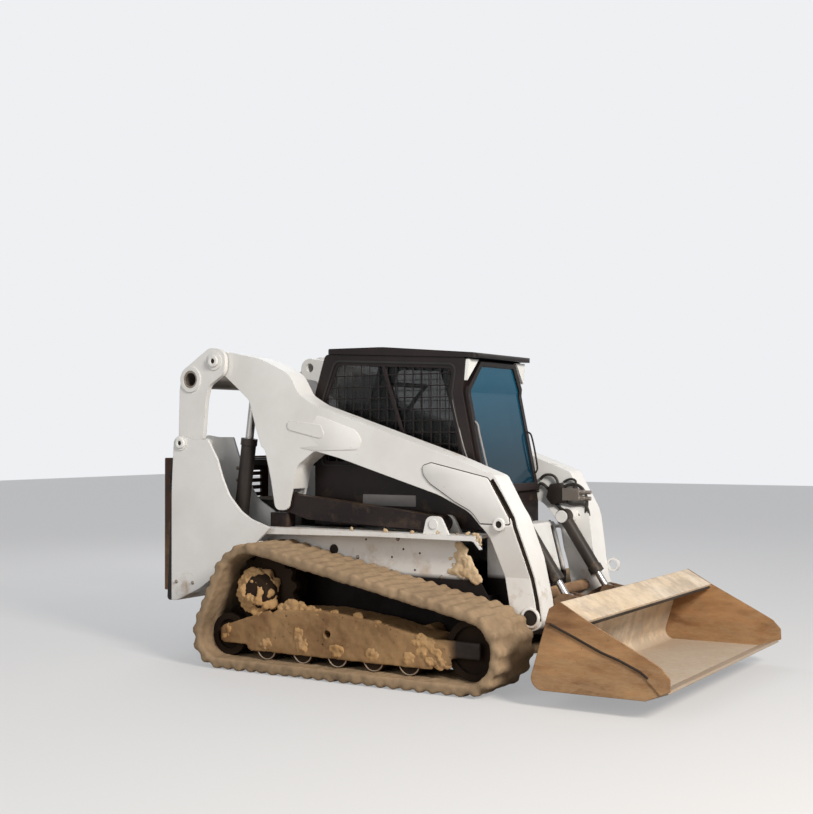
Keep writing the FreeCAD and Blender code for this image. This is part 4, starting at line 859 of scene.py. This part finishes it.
# Tool hydraulics. On the left arm a bolted manifold of cast steel carries the quick couplers, and
# short rubber hoses lie in loops along the arm's inner side. All of them are clipped to the arm.
hose_rubber = weathered("hose_rubber", (0.022, 0.021, 0.020, 1), (0.060, 0.050, 0.042, 1), GREY_PRIMER,
                        chips=0.2, splash=0.5, rough=0.65)
MANIFOLD = [(0.560, 1.030, 0.02), (0.520, 1.075, 0.02), (0.545, 1.165, 0.02), (0.625, 1.175, 0.02),
            (0.668, 1.120, 0.02), (0.668, 1.045, 0.02)]
HOSE_RUNS = [  # path (x, y, z), radius
    ([(0.640, 0.424, 1.150), (0.700, 0.421, 1.175), (0.760, 0.420, 1.160), (0.800, 0.421, 1.110),
      (0.812, 0.424, 1.040), (0.790, 0.428, 0.970)], 0.010),
    ([(0.540, 0.424, 1.120), (0.500, 0.420, 1.160), (0.470, 0.418, 1.180), (0.452, 0.420, 1.150),
      (0.448, 0.426, 1.110)], 0.010),
    ([(0.560, 0.424, 1.060), (0.600, 0.420, 1.010), (0.660, 0.418, 0.985), (0.720, 0.420, 0.980),
      (0.770, 0.424, 0.960), (0.802, 0.428, 0.900)], 0.010),
    ([(0.600, 0.416, 1.170), (0.590, 0.416, 1.215), (0.540, 0.418, 1.235), (0.490, 0.420, 1.225),
      (0.470, 0.424, 1.195)], 0.009),
    ([(0.640, 0.416, 1.060), (0.680, 0.416, 1.035), (0.730, 0.418, 1.030), (0.780, 0.420, 1.045),
      (0.812, 0.424, 1.020), (0.818, 0.428, 0.960)], 0.009),
    ([(0.660, 0.416, 1.100), (0.700, 0.416, 1.120), (0.740, 0.416, 1.170), (0.720, 0.418, 1.205),
      (0.670, 0.420, 1.200), (0.640, 0.424, 1.180)], 0.008)]
manifold = plate(MANIFOLD, 0.398, 0.437, chamfer=0.004)
finished(manifold, "tool_manifold", cylinder_finish, "lift_arms")
hoses = joined([pipe(path, radius) for path, radius in HOSE_RUNS])
finished(hoses, "tool_hoses", hose_rubber, "lift_arms", crease=60)

# Bucket. Welded plate worn by soil: the paint is gone, with tan dust over brown oxide outside and
# a scoured pan inside; dark seams follow the welded doublers, and a dark strip under the folded
# flange's lip is its painted shadow.
pan_finish = weathered("scoured_pan", (0.62, 0.47, 0.31, 1), (0.76, 0.64, 0.50, 1), (0.26, 0.14, 0.06, 1),
                       chips=0.85, mud_height=(0.0, 0.9), splash=0.6, rough=0.5, grain=(50, 0.5),
                       mud=(0.43, 0.35, 0.28, 1))
side_finish = weathered("rusted_side", (0.17, 0.080, 0.033, 1), (0.43, 0.235, 0.105, 1),
                        (0.08, 0.036, 0.016, 1), chips=1.1, mud_height=(0.0, 0.7), splash=0.6,
                        rough=0.6, grain=(50, 0.5), mud=(0.42, 0.265, 0.14, 1), stretch=(1, 1, 3.5))
edge_finish = weathered("worn_edge", (0.45, 0.40, 0.34, 1), (0.36, 0.28, 0.20, 1), (0.24, 0.13, 0.06, 1),
                        chips=0.5, mud_height=(0.0, 0.6), splash=0.4, rough=0.4, metal=0.4)
paint_nodes(pan_finish, "bucket_shell")
paint_nodes(side_finish, "bucket_sides")
paint_nodes(edge_finish, "cutting_edge")
# A dark strip just under the flange's lip: its painted shadow on the pan.
LIP_SHADOW = [(1.424, 0.471, 0.002), (1.424, 0.485, 0.002), (1.438, 0.483, 0.002), (1.438, 0.469, 0.002)]
finished(plate(LIP_SHADOW, -0.984, 0.984), "lip_shadow", shade_and_seam_paint, "coupler")
SEAM_STATION = 1.0125
SEAM_RADIUS = 0.008
DOUBLER_LINE = [(1.222, 0.467), (1.340, 0.417), (1.514, 0.340), (1.627, 0.303), (1.738, 0.256),
                (1.781, 0.224)]
for side, label in SIDES:
    line = pipe([(x, side * SEAM_STATION, z) for x, z in DOUBLER_LINE], SEAM_RADIUS, order=2)
    finished(line, "doubler_seam_" + label, shade_and_seam_paint, "coupler", crease=60)

# Cab mounts. Four moulded rubber pads, bolted to the inner edges of the decks, carry the cab's
# floor clear of the frame.
MOUNT = [(0.030, 0.8995), (0.032, 0.9025), (0.030, 0.9052)]
MOUNT_STATION = 0.392
for x, end in ((-0.700, "_rear"), (0.400, "_front")):
    for side, label in SIDES:
        pad = turned(MOUNT, (x, side * MOUNT_STATION, 0), (0, 0, 1))
        finished(pad, "cab_mount_" + label + end, gasket_rubber, "root")
